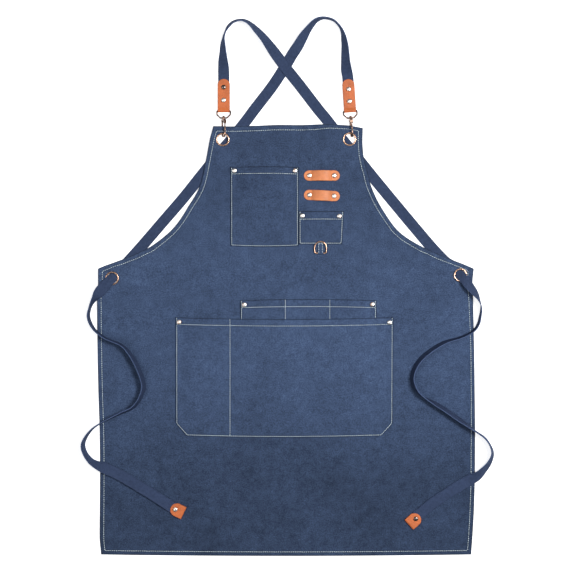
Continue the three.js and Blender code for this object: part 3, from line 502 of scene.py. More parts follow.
class ApronSizes(bpy.types.PropertyGroup):
    """Sizes of the cloth and its stitching"""

    cloth: FloatProperty(
        name="Cloth", description="Thickness of the canvas", default=1.2 * MM, min=0.0005, unit="LENGTH")
    waves: FloatProperty(
        name="Waves", description="Height of the cloth's slow waves", default=0.35 * MM, unit="LENGTH")
    ripple: FloatProperty(
        name="Ripple", description="Height of the puckers along a hem", default=0.14 * MM, unit="LENGTH")
    thread: FloatProperty(
        name="Thread", description="Radius of the sewing thread", default=0.52 * MM, unit="LENGTH")
    stitch: FloatProperty(
        name="Stitch", description="Length of one stitch", default=3.3 * MM, unit="LENGTH")
    pitch: FloatProperty(
        name="Pitch", description="Distance from stitch to stitch", default=3.9 * MM, unit="LENGTH")
    weave: FloatProperty(
        name="Weave", description="Distance between the canvas's yarns", default=0.9 * MM, unit="LENGTH")
    rib: FloatProperty(
        name="Rib", description="Distance between the webbing's ribs", default=1.5 * MM, unit="LENGTH")


class ApronColours(bpy.types.PropertyGroup):
    """Colours of the finishes"""

    canvas: FloatVectorProperty(
        name="Canvas", description="Washed canvas", subtype="COLOR", default=(0.070, 0.1115, 0.212))
    canvas_dark: FloatVectorProperty(
        name="Dark yarn", description="Darker yarn", subtype="COLOR", default=(0.036, 0.057, 0.115))
    webbing: FloatVectorProperty(
        name="Webbing", description="Straps and ties", subtype="COLOR", default=(0.0455, 0.0665, 0.131))
    thread: FloatVectorProperty(
        name="Thread", description="Pale sewing thread", subtype="COLOR", default=(0.68, 0.80, 0.86))
    leather: FloatVectorProperty(
        name="Leather", description="Tabs on the straps", subtype="COLOR", default=(0.61, 0.152, 0.043))
    leather_pale: FloatVectorProperty(
        name="Pale leather", description="Bib's loops", subtype="COLOR", default=(0.73, 0.245, 0.094))
    bronze: FloatVectorProperty(
        name="Bronze", description="Eyelets and snap hooks", subtype="COLOR", default=(0.72, 0.45, 0.32))
    patina: FloatVectorProperty(
        name="Patina", description="Dark patches on bronze", subtype="COLOR", default=(0.10, 0.063, 0.050))
    nickel: FloatVectorProperty(
        name="Nickel", description="Rivets", subtype="COLOR", default=(0.82, 0.79, 0.75))
    gunmetal: FloatVectorProperty(
        name="Gunmetal", description="Darker rivets", subtype="COLOR", default=(0.16, 0.13, 0.12))


class ApronStage(bpy.types.PropertyGroup):
    """Floor, light and camera"""

    floor: FloatVectorProperty(
        name="Floor", description="Colour of the floor", subtype="COLOR", default=(0.93, 0.94, 0.95))
    glow: FloatProperty(
        name="Glow", description="Light that the floor gives off by itself", default=0.68)
    right: FloatProperty(
        name="Right", description="Power of the light on the right", default=94.0, unit="POWER")
    left: FloatProperty(
        name="Left", description="Power of the light on the left", default=80.0, unit="POWER")
    fill: FloatProperty(
        name="Fill", description="Power of the overhead light", default=9.0, unit="POWER")
    sky: FloatProperty(
        name="Sky", description="Strength of the light all round", default=0.08)
    lens: FloatProperty(
        name="Lens", description="Focal length in millimetres", default=100.0)


def columns(rows):
    """A table's columns as arrays."""
    return np.array(rows, dtype=float).T


def smoothstep(low, high, value):
    share = np.clip((value - low) / (high - low), 0, 1)
    return share * share * (3 - 2 * share)


def smooth_curve(keys, values, wanted):
    """Cubic through a table with rising keys that keeps its ups and downs, straight beyond its ends."""
    wanted = np.asarray(wanted, dtype=float)
    slopes = np.diff(values) / np.diff(keys)
    before, after = slopes[:-1], slopes[1:]
    same = before * after > 0
    inner = np.where(same, 2 * before * after / np.where(same, before + after, 1), 0)
    tangent = np.concatenate([slopes[:1], inner, slopes[-1:]])
    k = np.clip(np.searchsorted(keys, wanted) - 1, 0, len(keys) - 2)
    step = keys[k + 1] - keys[k]
    t = np.clip((wanted - keys[k]) / step, 0, 1)
    found = (
        values[k] * (1 + 2 * t) * (1 - t) ** 2
        + step * tangent[k] * t * (1 - t) ** 2
        + values[k + 1] * t * t * (3 - 2 * t)
        - step * tangent[k + 1] * t * t * (1 - t)
    )
    below = np.minimum(wanted - keys[0], 0) * tangent[0]
    above = np.maximum(wanted - keys[-1], 0) * tangent[-1]
    return found + below + above


def spline(points, places):
    """Catmull-Rom curve through points, at places counted in points."""
    points = np.asarray(points, dtype=float)
    padded = np.vstack([2 * points[0] - points[1], points, 2 * points[-1] - points[-2]])
    k = np.clip(np.floor(places).astype(int), 0, len(points) - 2)
    t = (places - k)[:, None]
    p0, p1, p2, p3 = (padded[k + n] for n in range(4))
    return 0.5 * (
        2 * p1
        + (p2 - p0) * t
        + (2 * p0 - 5 * p1 + 4 * p2 - p3) * t ** 2
        + (3 * p1 - p0 - 3 * p2 + p3) * t ** 3
    )


def along(points):
    """Distance run along a line of points, at each point."""
    return np.concatenate([[0], np.cumsum(np.linalg.norm(np.diff(points, axis=0), axis=1))])


def unit(vectors):
    return vectors / np.linalg.norm(vectors, axis=-1, keepdims=True)


class Shade:
    """A shader socket that takes part in Python expressions."""

    def __init__(self, finish, socket):
        self.finish = finish
        self.socket = socket

    def math(self, operation, *others, swapped=False):
        values = [self, *others]
        if swapped:
            values.reverse()
        return self.finish.node("Math", {"operation": operation}, dict(enumerate(values)))

    def __add__(self, other):
        return self.math("ADD", other)

    __radd__ = __add__

    def __sub__(self, other):
        return self.math("SUBTRACT", other)

    def __rsub__(self, other):
        return self.math("SUBTRACT", other, swapped=True)

    def __mul__(self, other):
        return self.math("MULTIPLY", other)

    __rmul__ = __mul__

    def sine(self):
        return self.math("SINE")

    def absolute(self):
        return self.math("ABSOLUTE")

    def above(self, limit, soft):
        """0 below the limit and 1 above it, over a soft step."""
        values = {"Value": self, "From Min": limit - soft, "From Max": limit + soft}
        return self.finish.node("MapRange", {"interpolation_type": "SMOOTHSTEP"}, values)


class Finish:
    """One material under construction: a principled shader and the nodes that feed it."""

    def __init__(self, name, **constants):
        self.material = bpy.data.materials.new(name)
        self.material.use_nodes = True
        self.tree = self.material.node_tree
        self.shader = self.tree.nodes["Principled BSDF"]
        for key, value in constants.items():
            label = key.replace("_", " ").title().replace("Ior", "IOR")
            self.shader.inputs[label].default_value = value

    def node(self, kind, settings=None, inputs=None, output=0):
        """A node of that kind with its settings and then its inputs, as one of its output sockets."""
        made = self.tree.nodes.new("ShaderNode" + kind)
        for key, value in (settings or {}).items():
            setattr(made, key, value)
        for key, value in (inputs or {}).items():
            self.feed(made.inputs[key], value)
        return Shade(self, made.outputs[output])

    def feed(self, socket, value):
        if isinstance(value, Shade):
            self.tree.links.new(value.socket, socket)
        else:
            socket.default_value = value

    def place(self):
        return self.node("TexCoord", output="Object")

    def parts(self, vector):
        split = self.tree.nodes.new("ShaderNodeSeparateXYZ")
        self.feed(split.inputs[0], vector)
        return [Shade(self, socket) for socket in split.outputs]

    def noise(self, vector, scale, detail=2.0, stretch=(1, 1, 1)):
        """Cloudy values round zero."""
        if stretch != (1, 1, 1):
            vector = self.node("VectorMath", {"operation": "MULTIPLY"}, {0: vector, 1: stretch})
        inputs = {"Vector": vector, "Scale": scale, "Detail": detail}
        return self.node("TexNoise", None, inputs) - 0.5

    def mix(self, share, first, second):
        """Colour between two colours."""
        first, second = (value if isinstance(value, Shade) else (*value, 1) for value in (first, second))
        return self.node("Mix", {"data_type": "RGBA"}, {0: share, 6: first, 7: second}, output=2)

    def scaled(self, colour, share):
        return self.node("VectorMath", {"operation": "SCALE"}, {0: colour, "Scale": share})

    def bump(self, height, distance, strength=1.0):
        inputs = {"Height": height, "Distance": distance, "Strength": strength}
        self.feed(self.shader.inputs["Normal"], self.node("Bump", None, inputs))

    def paint(self, colour=None, roughness=None):
        if colour is not None:
            self.feed(self.shader.inputs["Base Color"], colour)
        if roughness is not None:
            self.feed(self.shader.inputs["Roughness"], roughness)
        return self.material


def canvas_finish(sizes, colours):
    """Washed plain-weave canvas: mottled yarns, slubs along both yarns and paler worn specks, with painted
    light and shade read from the mesh and a painted falloff of light towards the skirt's foot and the bib's
    top.
    """
    finish = Finish("washed_canvas", specular_ior_level=0.15, sheen_weight=0.08, sheen_roughness=0.5)
    place = finish.place()
    x, y, _ = finish.parts(place)
    turn = math.pi / sizes.weave
    weave = (x * turn).sine() * (y * turn).sine()
    heather = finish.noise(place, 520, 2)
    blotches = finish.noise(place, 120, 2)
    slubs = finish.noise(place, 60, 2, (1, 9, 1)) + finish.noise(place, 60, 2, (9, 1, 1))
    clouds = finish.noise(place, 55, 2) * 1.1 + finish.noise(place, 9, 2)
    specks = finish.noise(place, 330, 0).above(0.29, 0.03)
    # Painted shade along edges, mouths and seams, and painted light on the pockets, read from the mesh
    fold = finish.node("Attribute", {"attribute_name": "dye"}, output="Fac")
    # Painted light: the lower skirt darker, and the bib's top a little darker, than the middle, as the
    # lamps fall off
    worn = y.above(-0.26, 0.13) * 0.35 - y.above(0.16, 0.14) * 0.16
    share = 0.55 + heather * 3.0 + blotches * 0.8 + slubs * 0.4 + weave * 0.12
    yarns = finish.mix(share, colours.canvas_dark, colours.canvas)
    light = (0.635 + worn + clouds * 0.45 + specks * 0.25) * (1 - fold * 0.72)
    finish.bump(weave * 0.6 + heather * 0.8 + slubs * 0.5, 0.22 * sizes.weave)
    return finish.paint(finish.scaled(yarns, light), 0.9 + heather * 0.1)


def webbing_finish(sizes, colours):
    """Cotton webbing: ribs across the band and a fine grain along it, with a painted highlight on its edges
    and painted shadow along the borders of its faces.
    """
    finish = Finish("ribbed_webbing", specular_ior_level=0.06)
    place = finish.place()
    across, run, _ = finish.parts(finish.node("UVMap", {"uv_map": "run"}))
    ribs = (run * (2 * math.pi / sizes.rib)).sine()
    yarns = (across * (2 * math.pi * 14)).sine()
    mottle = finish.noise(place, 240, 3)
    outward = (across - 0.5).absolute()
    # Painted highlight on the edge faces, and painted shadow along the borders of the flat faces
    painted_rim_light_and_shadow = outward.above(0.494, 0.005) * 1.3 - outward.above(0.462, 0.02) * 0.3
    light = 1.0 + ribs * 0.1 + mottle * 0.6 + painted_rim_light_and_shadow + finish.noise(place, 30, 2) * 0.3
    finish.bump(ribs * 0.7 + yarns * 0.3, 0.12 * sizes.rib)
    return finish.paint(finish.scaled(tuple(colours.webbing), light), 0.85 + mottle * 0.1)


def thread_finish(colours):
    """Pale twisted thread."""
    finish = Finish("pale_thread", specular_ior_level=0.25, sheen_weight=0.1)
    place = finish.place()
    fade = finish.noise(place, 180, 2)
    light = 1.0 + fade * 0.5
    finish.bump(finish.noise(place, 2600, 1), 0.1 * MM)
    return finish.paint(finish.scaled(tuple(colours.thread), light), 0.8 + fade * 0.1)


def leather_finish(name, colour):
    """Smooth tan leather: fine pores, a cloudy tan and darker cut edges."""
    finish = Finish(name, specular_ior_level=0.35, coat_weight=0.06, coat_roughness=0.35)
    place = finish.place()
    pores = finish.node("TexVoronoi", {"feature": "DISTANCE_TO_EDGE"}, {"Vector": place, "Scale": 900})
    grain = finish.noise(place, 700, 3)
    clouds = finish.noise(place, 70, 3)
    edge = finish.node("Attribute", {"attribute_name": "edge"}, output="Fac")
    light = 1.0 + clouds * 0.8 + grain * 0.25 - edge * 0.35
    finish.bump(pores * 0.8 + grain * 0.6, 0.14 * MM)
    return finish.paint(finish.scaled(tuple(colour), light), 0.5 + grain * 0.25 + clouds * 0.15)


def metal_finish(name, metal, colours):
    """Plated metal with patches where it is worn or dull and a faintly uneven polish."""
    finish = Finish(name, metallic=1.0)
    place = finish.place()
    dull = finish.noise(place, 320, 3)
    patches = finish.noise(place, 190, 2).above(metal.least, 0.12)
    scratches = finish.noise(place, 260, 2, (1, 14, 3))
    colour = finish.mix(patches, getattr(colours, metal.plate), getattr(colours, metal.worn))
    finish.bump(scratches * 0.3 + dull * 0.5, 0.05 * MM)
    return finish.paint(finish.scaled(colour, 1.0 + dull * 0.3), metal.polish + dull * 0.2 + patches * 0.1)


def finish_for(name):
    """The finish of that name, made the first time it is asked for."""
    found = bpy.data.materials.get(name)
    if found:
        return found
    sizes, colours = bpy.context.scene.apron_sizes, bpy.context.scene.apron_colours
    if name in METALS:
        return metal_finish(name, METALS[name], colours)
    if name in LEATHERS:
        return leather_finish(name, getattr(colours, LEATHERS[name]))
    makers = {
        "washed_canvas": partial(canvas_finish, sizes),
        "ribbed_webbing": partial(webbing_finish, sizes),
        "pale_thread": thread_finish,
    }
    return makers[name](colours)


def dress(piece, finish, nodes=(), body=ROOT):
    """Gives a finished piece its material and its place in the frame."""
    piece.data.materials.clear()
    piece.data.materials.append(finish_for(finish))
    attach(piece, body)
    if nodes:
        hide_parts(*nodes)
    return piece


def new_piece(name, vertices, faces):
    """Smooth-shaded object from vertices in millimetres."""
    mesh = bpy.data.meshes.new(name)
    mesh.from_pydata((np.asarray(vertices) * MM).tolist(), [], faces)
    mesh.update()
    mesh.shade_smooth()
    piece = bpy.data.objects.new(name, mesh)
    bpy.context.scene.collection.objects.link(piece)
    return piece


def sheet_piece(name, x, y, upper, lower):
    """Closed sheet between two heights over a grid whose rows go from high y to low."""
    rows, count = x.shape
    index = np.arange(rows * count).reshape(rows, count)
    corners = [index[:-1, :-1], index[1:, :-1], index[1:, 1:], index[:-1, 1:]]
    front = np.stack([corner.ravel() for corner in corners], axis=1)
    back = front[:, ::-1] + rows * count
    rim = np.concatenate([index[:-1, 0], index[-1, :-1], index[:0:-1, -1], index[0, :0:-1]])
    after = np.roll(rim, -1)
    wall = np.stack([rim, rim + rows * count, after + rows * count, after], axis=1)
    vertices = np.concatenate([np.stack([x, y, z], axis=-1).reshape(-1, 3) for z in (upper, lower)])
    return new_piece(name, vertices, np.concatenate([front, back, wall]).tolist())


def ribbon_piece(name, centres, across, through, widths, thick, full=None, blunt=RIBBON["blunt"]):
    """Closed band along a line. Where its full width has less room it bows up."""
    places = RIBBON_PLACES * 2 - 1
    full = widths if full is None else full
    ratio = np.clip(widths / full, RIBBON["narrowest"], 1)
    bend = np.interp(-ratio, -np.sin(ARC_ANGLES) / ARC_ANGLES, ARC_ANGLES)
    angle = bend[:, None] * places
    radius = (full / 2 / bend)[:, None]
    sideways = (radius * np.sin(angle))[..., None]
    rise = (radius * (np.cos(angle) - np.cos(bend)[:, None]))[..., None]
    rim = np.minimum((1 - np.abs(places)) * full[:, None] / thick, 1)
    half = (thick / 2 * np.maximum(np.sqrt(1 - (1 - rim) ** 2), blunt))[..., None]
    across, through = across[:, None], through[:, None]
    outward = through * np.cos(angle)[..., None] + across * np.sin(angle)[..., None]
    middle = centres[:, None] + across * sideways + through * rise
    rings = np.concatenate([middle + outward * half, (middle - outward * half)[:, ::-1]], axis=1)
    rows, count = rings.shape[:2]
    index = np.arange(rows * count).reshape(rows, count)
    following = np.roll(index, -1, axis=1)
    walls = np.stack([index[:-1], following[:-1], following[1:], index[1:]], axis=-1).reshape(-1, 4)
    faces = [*walls.tolist(), index[0, ::-1].tolist(), index[-1].tolist()]
    piece = new_piece(name, rings.reshape(-1, 3), faces)
    round_trip = np.concatenate([RIBBON_PLACES, RIBBON_PLACES[::-1]])
    run = along(centres)[:, None] * MM
    lay_uv(piece, np.stack(np.broadcast_arrays(round_trip, run), axis=-1).reshape(-1, 2))
    tips = np.zeros((rows, count))
    tips[[0, -1]] = 1
    tips[:, np.abs(round_trip * 2 - 1) > RIBBON["edge"]] = 1
    mark(piece, "edge", tips.ravel())
    face_out(piece)
    return piece


def lay_uv(piece, values):
    """UV map named run from one value for each vertex."""
    mesh = piece.data
    corner = np.empty(len(mesh.loops), dtype=int)
    mesh.loops.foreach_get("vertex_index", corner)
    layer = mesh.uv_layers.new(name="run")
    layer.data.foreach_set("uv", values[corner].ravel())


def mark(piece, name, values):
    """Vertex attribute that a finish reads."""
    layer = piece.data.attributes.new(name, "FLOAT", "POINT")
    layer.data.foreach_set("value", values)


def mark_painted_light_and_shade(piece, measure):
    """Marks painted shade, and on pockets painted light, from a measure of the places of the vertices."""
    place = np.empty(3 * len(piece.data.vertices), dtype=np.float32)
    piece.data.vertices.foreach_get("co", place)
    x, y, _ = place.reshape(-1, 3).T / MM
    mark(piece, "dye", measure(x, y))


def bell(distance, width):
    """1 at no distance, fading out on both sides."""
    return np.exp(-(distance / width) ** 2)


def painted_shade_near(kind, distance):
    """Painted shade at a distance from an edge, a mouth or a seam."""
    return PAINTED_SHADE[kind] * bell(distance, PAINTED_SHADE[kind + "_width"])


def alone(piece):
    """Makes a piece the active one, with nothing else selected."""
    bpy.ops.object.select_all(action="DESELECT")
    bpy.context.view_layer.objects.active = piece
    piece.select_set(True)


def edit(piece):
    """Opens one piece alone in edit mode, with all of it selected."""
    alone(piece)
    bpy.ops.object.mode_set(mode="EDIT")
    bpy.ops.mesh.select_all(action="SELECT")


def face_out(piece):
    """Points a closed piece's faces outwards."""
    edit(piece)
    bpy.ops.mesh.normals_make_consistent(inside=False)
    bpy.ops.object.mode_set(mode="OBJECT")


def smooth_by_angle(piece):
    alone(piece)
    bpy.ops.object.shade_smooth_by_angle(angle=SHARP_ANGLE)


def combine(piece, tool, operation):
    """Joins a closed tool to a piece or cuts it away, and removes the tool."""
    modifier = piece.modifiers.new(operation.lower(), "BOOLEAN")
    modifier.operation = operation
    modifier.solver = "MANIFOLD"
    modifier.object = tool
    alone(piece)
    bpy.ops.object.modifier_apply(modifier=modifier.name)
    bpy.data.objects.remove(tool)


def primitive(name, add, **options):
    """A primitive added alone, at its size and place, with its place in its mesh."""
    bpy.ops.object.select_all(action="DESELECT")
    add(**options)
    piece = bpy.context.object
    piece.name = name
    piece.data.name = name
    bpy.ops.object.transform_apply(location=True, rotation=True, scale=True)
    return piece


def moved(x, y, z):
    """Matrix of a move in millimetres."""
    return Matrix.Translation(Vector((x, y, z)) * MM)


def placed(x, y, z, turn=0):
    """Matrix of a turn about Z, in degrees, and then a move in millimetres."""
    return moved(x, y, z) @ Matrix.Rotation(math.radians(turn), 4, "Z")


def by_side(table, side, y):
    """Left or right column of a table by y."""
    keys, left, right = columns(table)
    return smooth_curve(keys, left if side == "left" else right, y)


def edge_line(side, part, y):
    return by_side(EDGES[part], side, y)


def edge_slope(side, part, y):
    return edge_line(side, part, y + 0.5) - edge_line(side, part, y - 0.5)


def body_edge(side, y):
    return np.where(y >= HIP, edge_line(side, "armhole", y), edge_line(side, "side", y))


def bow(low, high, x):
    """Bow of an edge: nothing at its two ends and 1 in its middle."""
    share = (x - low) / (high - low)
    return 1 - (2 * share - 1) ** 2


def top_edge(x):
    return BIB_TOP + smooth_curve(*columns(TOP_BOW), x)


def bottom_edge(x):
    return SKIRT["bottom"] - SKIRT["bow"] * bow(SKIRT["left"], SKIRT["right"], x)


def top_seam(x):
    return top_edge(x) - smooth_curve(*columns(TOP_SEAM), x)


def bottom_seam(x):
    return bottom_edge(x) + HEM_SEAMS["bottom"]


def seam_inset(side, part, y):
    return HEM_SEAMS[part] if part == "armhole" else by_side(SIDE_SEAMS, side, y)


def hem_distances(x, y):
    """Distance inside the body's nearest edge, and inside the seam's own line."""
    edge, seam = [], []
    for side, sign in INWARD.items():
        for part in EDGES:
            away = sign * (x - edge_line(side, part, y)) / np.hypot(1, edge_slope(side, part, y))
            edge.append(away)
            seam.append(away - seam_inset(side, part, y))
    edge += [top_edge(x) - y, y - bottom_edge(x)]
    seam += [top_seam(x) - y, y - bottom_seam(x)]
    return np.min(edge, axis=0), np.min(seam, axis=0)


def rounded(distance, radius):
    """Drop of a rounded edge, by the distance inside it."""
    short = radius - np.clip(distance, 0, radius)
    return radius - np.sqrt(radius ** 2 - short ** 2)


def groove(seam):
    """Depth of the groove that a seam draws, by the distance from it."""
    return GROOVE["depth"] * bell(seam, GROOVE["width"])


def puckers(kind, x, y, seam):
    """Small puckers that the thread draws up beside a seam, by the distance from it."""
    phase = (x + kind.lean * y) / kind.length + 2 * np.sin(x / kind.sway_x) + 2 * np.sin(y / kind.sway_y)
    height = kind.share * bpy.context.scene.apron_sizes.ripple / MM
    return height * (np.sin(phase) * bell(seam, kind.width))


def cloth_lift(y):
    return smooth_curve(*columns(LIFT), y)


def cloth_under(x, y):
    """Underside of the body: its lift over the table and its slow waves."""
    broad_x = np.sin(x / WAVE["x"] + WAVE["x_bend"] * np.sin(y / WAVE["x_sway"]))
    broad_y = np.sin(y / WAVE["y"] + WAVE["y_bend"] * np.sin(x / WAVE["y_sway"]))
    fine_x = np.sin(x / FINE_WAVE["x"] + y / FINE_WAVE["x_slant"])
    fine_y = np.sin(y / FINE_WAVE["y"] - x / FINE_WAVE["y_slant"])
    wave = broad_x * broad_y + FINE_WAVE["share"] * fine_x * fine_y
    height = bpy.context.scene.apron_sizes.waves / MM
    return cloth_lift(y) + height * (WAVE["mean"] + WAVE["swing"] * wave)


def cloth_top(x, y):
    """Upper side of the body away from its hems."""
    return cloth_under(x, y) + bpy.context.scene.apron_sizes.cloth / MM


def on_cloth(x, y, gap):
    """Height of a seat at a gap over the cloth."""
    return float(cloth_top(x, y)) + gap


def hemmed_top(x, y):
    """Upper side of the body with its hems, seams and rounded edges."""
    edge, seam = hem_distances(x, y)
    hem = HEM["rise"] * (1 - smoothstep(HEM["full"], HEM["gone"], edge))
    drawn = puckers(PUCKERS["body"], x, y, seam) - groove(seam)
    return cloth_top(x, y) + hem + drawn - rounded(edge, HEM["round"])


# Painted shade along the body's edges and seams.
def body_painted_shade(x, y):
    edge, seam = hem_distances(x, y)
    return np.maximum(painted_shade_near("edge", edge), painted_shade_near("seam", seam))


def body_slant(side, y):
    """Length of the body's edge for each millimetre of height, evened out over a few millimetres."""
    slants = []
    for offset in SLANT_SPREAD:
        armhole, plain = (edge_slope(side, part, y + offset) for part in EDGES)
        slants.append(np.hypot(1, np.where(y + offset >= HIP, armhole, plain)))
    return np.mean(slants, axis=0)


def body_grid():
    """Points of the body's grid: rows from the bib's top down, close together at the hems and hips."""
    steps = np.array(EDGE_STEPS)
    bottom = SKIRT["bottom"]
    rows = np.unique(np.concatenate([
        BIB_TOP - steps,
        np.arange(bottom + steps[-1] + GRID_STEP, BIB_TOP - steps[-1] - GRID_STEP / 2, GRID_STEP),
        np.arange(HIP - HIP_ROWS["below"], HIP + HIP_ROWS["above"], HIP_ROWS["step"]),
        bottom + steps,
    ]))[::-1]
    left = body_edge("left", rows)[:, None] + body_slant("left", rows)[:, None] * steps
    right = body_edge("right", rows)[:, None] - body_slant("right", rows)[:, None] * steps[::-1]
    count = int((SKIRT["right"] - SKIRT["left"]) / GRID_STEP)
    share = np.linspace(0, 1, count)[1:-1]
    middle = left[:, -1:] + (right[:, :1] - left[:, -1:]) * share
    x = np.concatenate([left, middle, right], axis=1)
    y = np.repeat(rows[:, None], x.shape[1], axis=1)
    rise = (top_edge(x) - BIB_TOP) * smoothstep(BOW_FADE["top"], BIB_TOP - BOW_FADE["hem"], y)
    drop = (bottom_edge(x) - bottom) * smoothstep(BOW_FADE["bottom"], bottom + BOW_FADE["hem"], y)
    return x, y + rise + drop


class APRON_OT_body(bpy.types.Operator):
    """Body of the apron: one cloth with hems, and holes for its eyelets"""

    bl_idname = "apron.body"
    bl_label = "Body"

    def execute(self, context):
        x, y = body_grid()
        edge, _ = hem_distances(x, y)
        lower = cloth_under(x, y) + rounded(edge, HEM["round"]) * UNDER_ROUND
        body = sheet_piece("canvas_body", x, y, hemmed_top(x, y), lower)
        for eyelet in EYELETS:
            drill = primitive(
                "drill", bpy.ops.mesh.primitive_cylinder_add, vertices=EYELET["hole_sides"],
                radius=EYELET["hole"] * MM, depth=EYELET["drill"] * MM,
                location=(eyelet.x * MM, eyelet.y * MM, 0))
            combine(body, drill, "DIFFERENCE")
        body.data.shade_smooth()
        mark_painted_light_and_shade(body, body_painted_shade)
        dress(body, "washed_canvas", ["body_panel"])
        rows = y[:, 0]
        widths = body_edge("right", rows) - body_edge("left", rows)
        return {"FINISHED"}


def pocket_bottom(pocket, x):
    drop = pocket.bow * bow(pocket.left, pocket.right, np.clip(x, pocket.left, pocket.right))
    clip_x, clip_y = pocket.clip
    side = np.minimum(x - pocket.left, pocket.right - x)
    clip = clip_y * np.clip(1 - side / clip_x, 0, 1) if clip_x else 0
    return pocket.bottom - drop + clip


def pocket_mouth(pocket, x):
    return pocket.top + pocket.mouth * bow(pocket.left, pocket.right, x)


def pocket_right(pocket, y):
    return pocket.right + (pocket.foot - pocket.right) * (pocket.top - y) / (pocket.top - pocket.bottom)


def pocket_crown(pocket, x, y):
    """How far the pocket stands off the body: nothing along its seams, most at its mouth."""
    edges = [pocket.left + POCKET["turned"], *pocket.seams, pocket.right - POCKET["turned"]]
    crown = np.zeros(np.broadcast(x, y).shape)
    for low, high, height in zip(edges, edges[1:], pocket.crowns):
        share = np.clip((x - low) / (high - low), 0, 1)
        crown += height * (1 - np.abs(2 * share - 1) ** 3)
    return crown * smoothstep(pocket.crown_from, pocket.crown_full, y)


def pocket_under(pocket, x, y):
    return cloth_top(x, y) + POCKET["seat"] + pocket_crown(pocket, x, y)


def pocket_edge(pocket, x, y):
    """Distance inside the pocket's sewn edges."""
    slope = pocket_bottom(pocket, x + 0.5) - pocket_bottom(pocket, x - 0.5)
    foot = (y - pocket_bottom(pocket, x)) / np.hypot(1, slope)
    return np.minimum(np.minimum(x - pocket.left, pocket_right(pocket, y) - x), foot)


def pocket_distances(pocket, x, y):
    """Distances inside the pocket's sewn edges and its mouth, and from its nearest seam."""
    edge = pocket_edge(pocket, x, y)
    mouth = pocket_mouth(pocket, x) - y
    seams = [edge - POCKET["seam"], mouth - pocket.hem]
    seams += [x - seam for seam in pocket.seams]
    return edge, mouth, np.min(np.abs(seams), axis=0)


# Painted shade along a pocket's edges, mouth and seams, less the pocket's painted light.
def pocket_painted_light_and_shade(pocket, x, y):
    edge, mouth, seam = pocket_distances(pocket, x, y)
    folds = [painted_shade_near("edge", edge), painted_shade_near("mouth", mouth), painted_shade_near("seam", seam)]
    return np.max(folds, axis=0) - pocket.wash


def fading(rise, place, fade, distance):
    """Rise that falls away over a short stretch at a place."""
    return rise * (1 - smoothstep(place + fade[0], place + fade[1], distance))


def pocket_face(pocket, x, y):
    """Upper side of a pocket with its mouth's hem, turned edges and seams."""
    edge, mouth, seam = pocket_distances(pocket, x, y)
    hem = fading(POCKET["hem_rise"], pocket.hem, POCKET["hem_fade"], mouth)
    fold = fading(POCKET["fold_rise"], POCKET["turned"], POCKET["fold_fade"], edge)
    drawn = puckers(PUCKERS["pocket"], x, y, seam) - groove(seam)
    drop = rounded(np.minimum(edge, mouth), POCKET["round"])
    return pocket_under(pocket, x, y) + bpy.context.scene.apron_sizes.cloth / MM + hem + fold + drawn - drop


def pocket_grid(pocket):
    """Points of a pocket's grid, close together at its edges, mouth and seams."""
    steps = np.array(POCKET_EDGE_STEPS)
    width = pocket.right - pocket.left
    inner = np.arange(steps[-1] + POCKET_STEP, width - steps[-1] - POCKET_STEP / 2, POCKET_STEP)
    near = [seam - pocket.left + offset for seam in pocket.seams for offset in POCKET_SEAM_STEPS]
    corner = [pocket.clip[0], width - pocket.clip[0]] if pocket.clip[0] else []
    share = np.unique(np.round(np.concatenate([steps, inner, near, corner, width - steps]), 3)) / width
    plain = pocket.left + share * width
    mouth = np.array(POCKET_MOUTH_STEPS)
    upper = pocket_mouth(pocket, plain) - mouth[:, None]
    lower = pocket_bottom(pocket, plain) + steps[::-1][:, None]
    count = int((pocket.top - mouth[-1] - pocket.bottom) / POCKET_STEP)
    part = np.linspace(0, 1, count)[1:-1, None]
    middle = upper[-1] + (lower[0] - upper[-1]) * part
    y = np.concatenate([upper, middle, lower])
    x = pocket.left + share * (pocket_right(pocket, y) - pocket.left)
    return x, y


class APRON_OT_pockets(bpy.types.Operator):
    """Sewn pockets with hemmed mouths"""

    bl_idname = "apron.pockets"
    bl_label = "Pockets"

    def execute(self, context):
        for pocket in POCKETS:
            x, y = pocket_grid(pocket)
            edge, mouth, _ = pocket_distances(pocket, x, y)
            lift = rounded(np.minimum(edge, mouth), POCKET["round"]) * UNDER_ROUND
            lower = pocket_under(pocket, x, y) + lift
            piece = sheet_piece("canvas_" + pocket.name, x, y, pocket_face(pocket, x, y), lower)
            mark_painted_light_and_shade(piece, partial(pocket_painted_light_and_shade, pocket))
            dress(piece, "washed_canvas", [pocket.name])
        return {"FINISHED"}


def strap_line(rows):
    """Centre line of a strap with its sideways and upward directions and its width."""
    x, y, roll, width, rest = columns(rows)
    corners = np.stack([x, y], axis=1)
    keys = np.arange(len(rows), dtype=float)
    rough_places = np.linspace(0, keys[-1], WEBBING["rough_steps"] * len(rows))
    run = along(spline(corners, rough_places))
    count = int(run[-1] / WEBBING["step"])
    places = np.interp(np.linspace(0, run[-1], count), run, rough_places)
    plan = spline(corners, places)
    roll = np.radians(smooth_curve(keys, roll, places))
    width = smooth_curve(keys, width, places)
    ahead = unit(np.gradient(plan, axis=0))
    side = np.stack([ahead[:, 1], -ahead[:, 0]], axis=1)
    flat, up = np.cos(roll), np.sin(roll)
    across = np.column_stack([side * flat[:, None], up])
    through = np.column_stack([side * -up[:, None], flat])
    height = (width * np.abs(up) + WEBBING["thick"] * np.abs(flat)) / 2
    centres = np.column_stack([plan, smooth_curve(keys, rest, places) + height])
    return centres, across, through, width


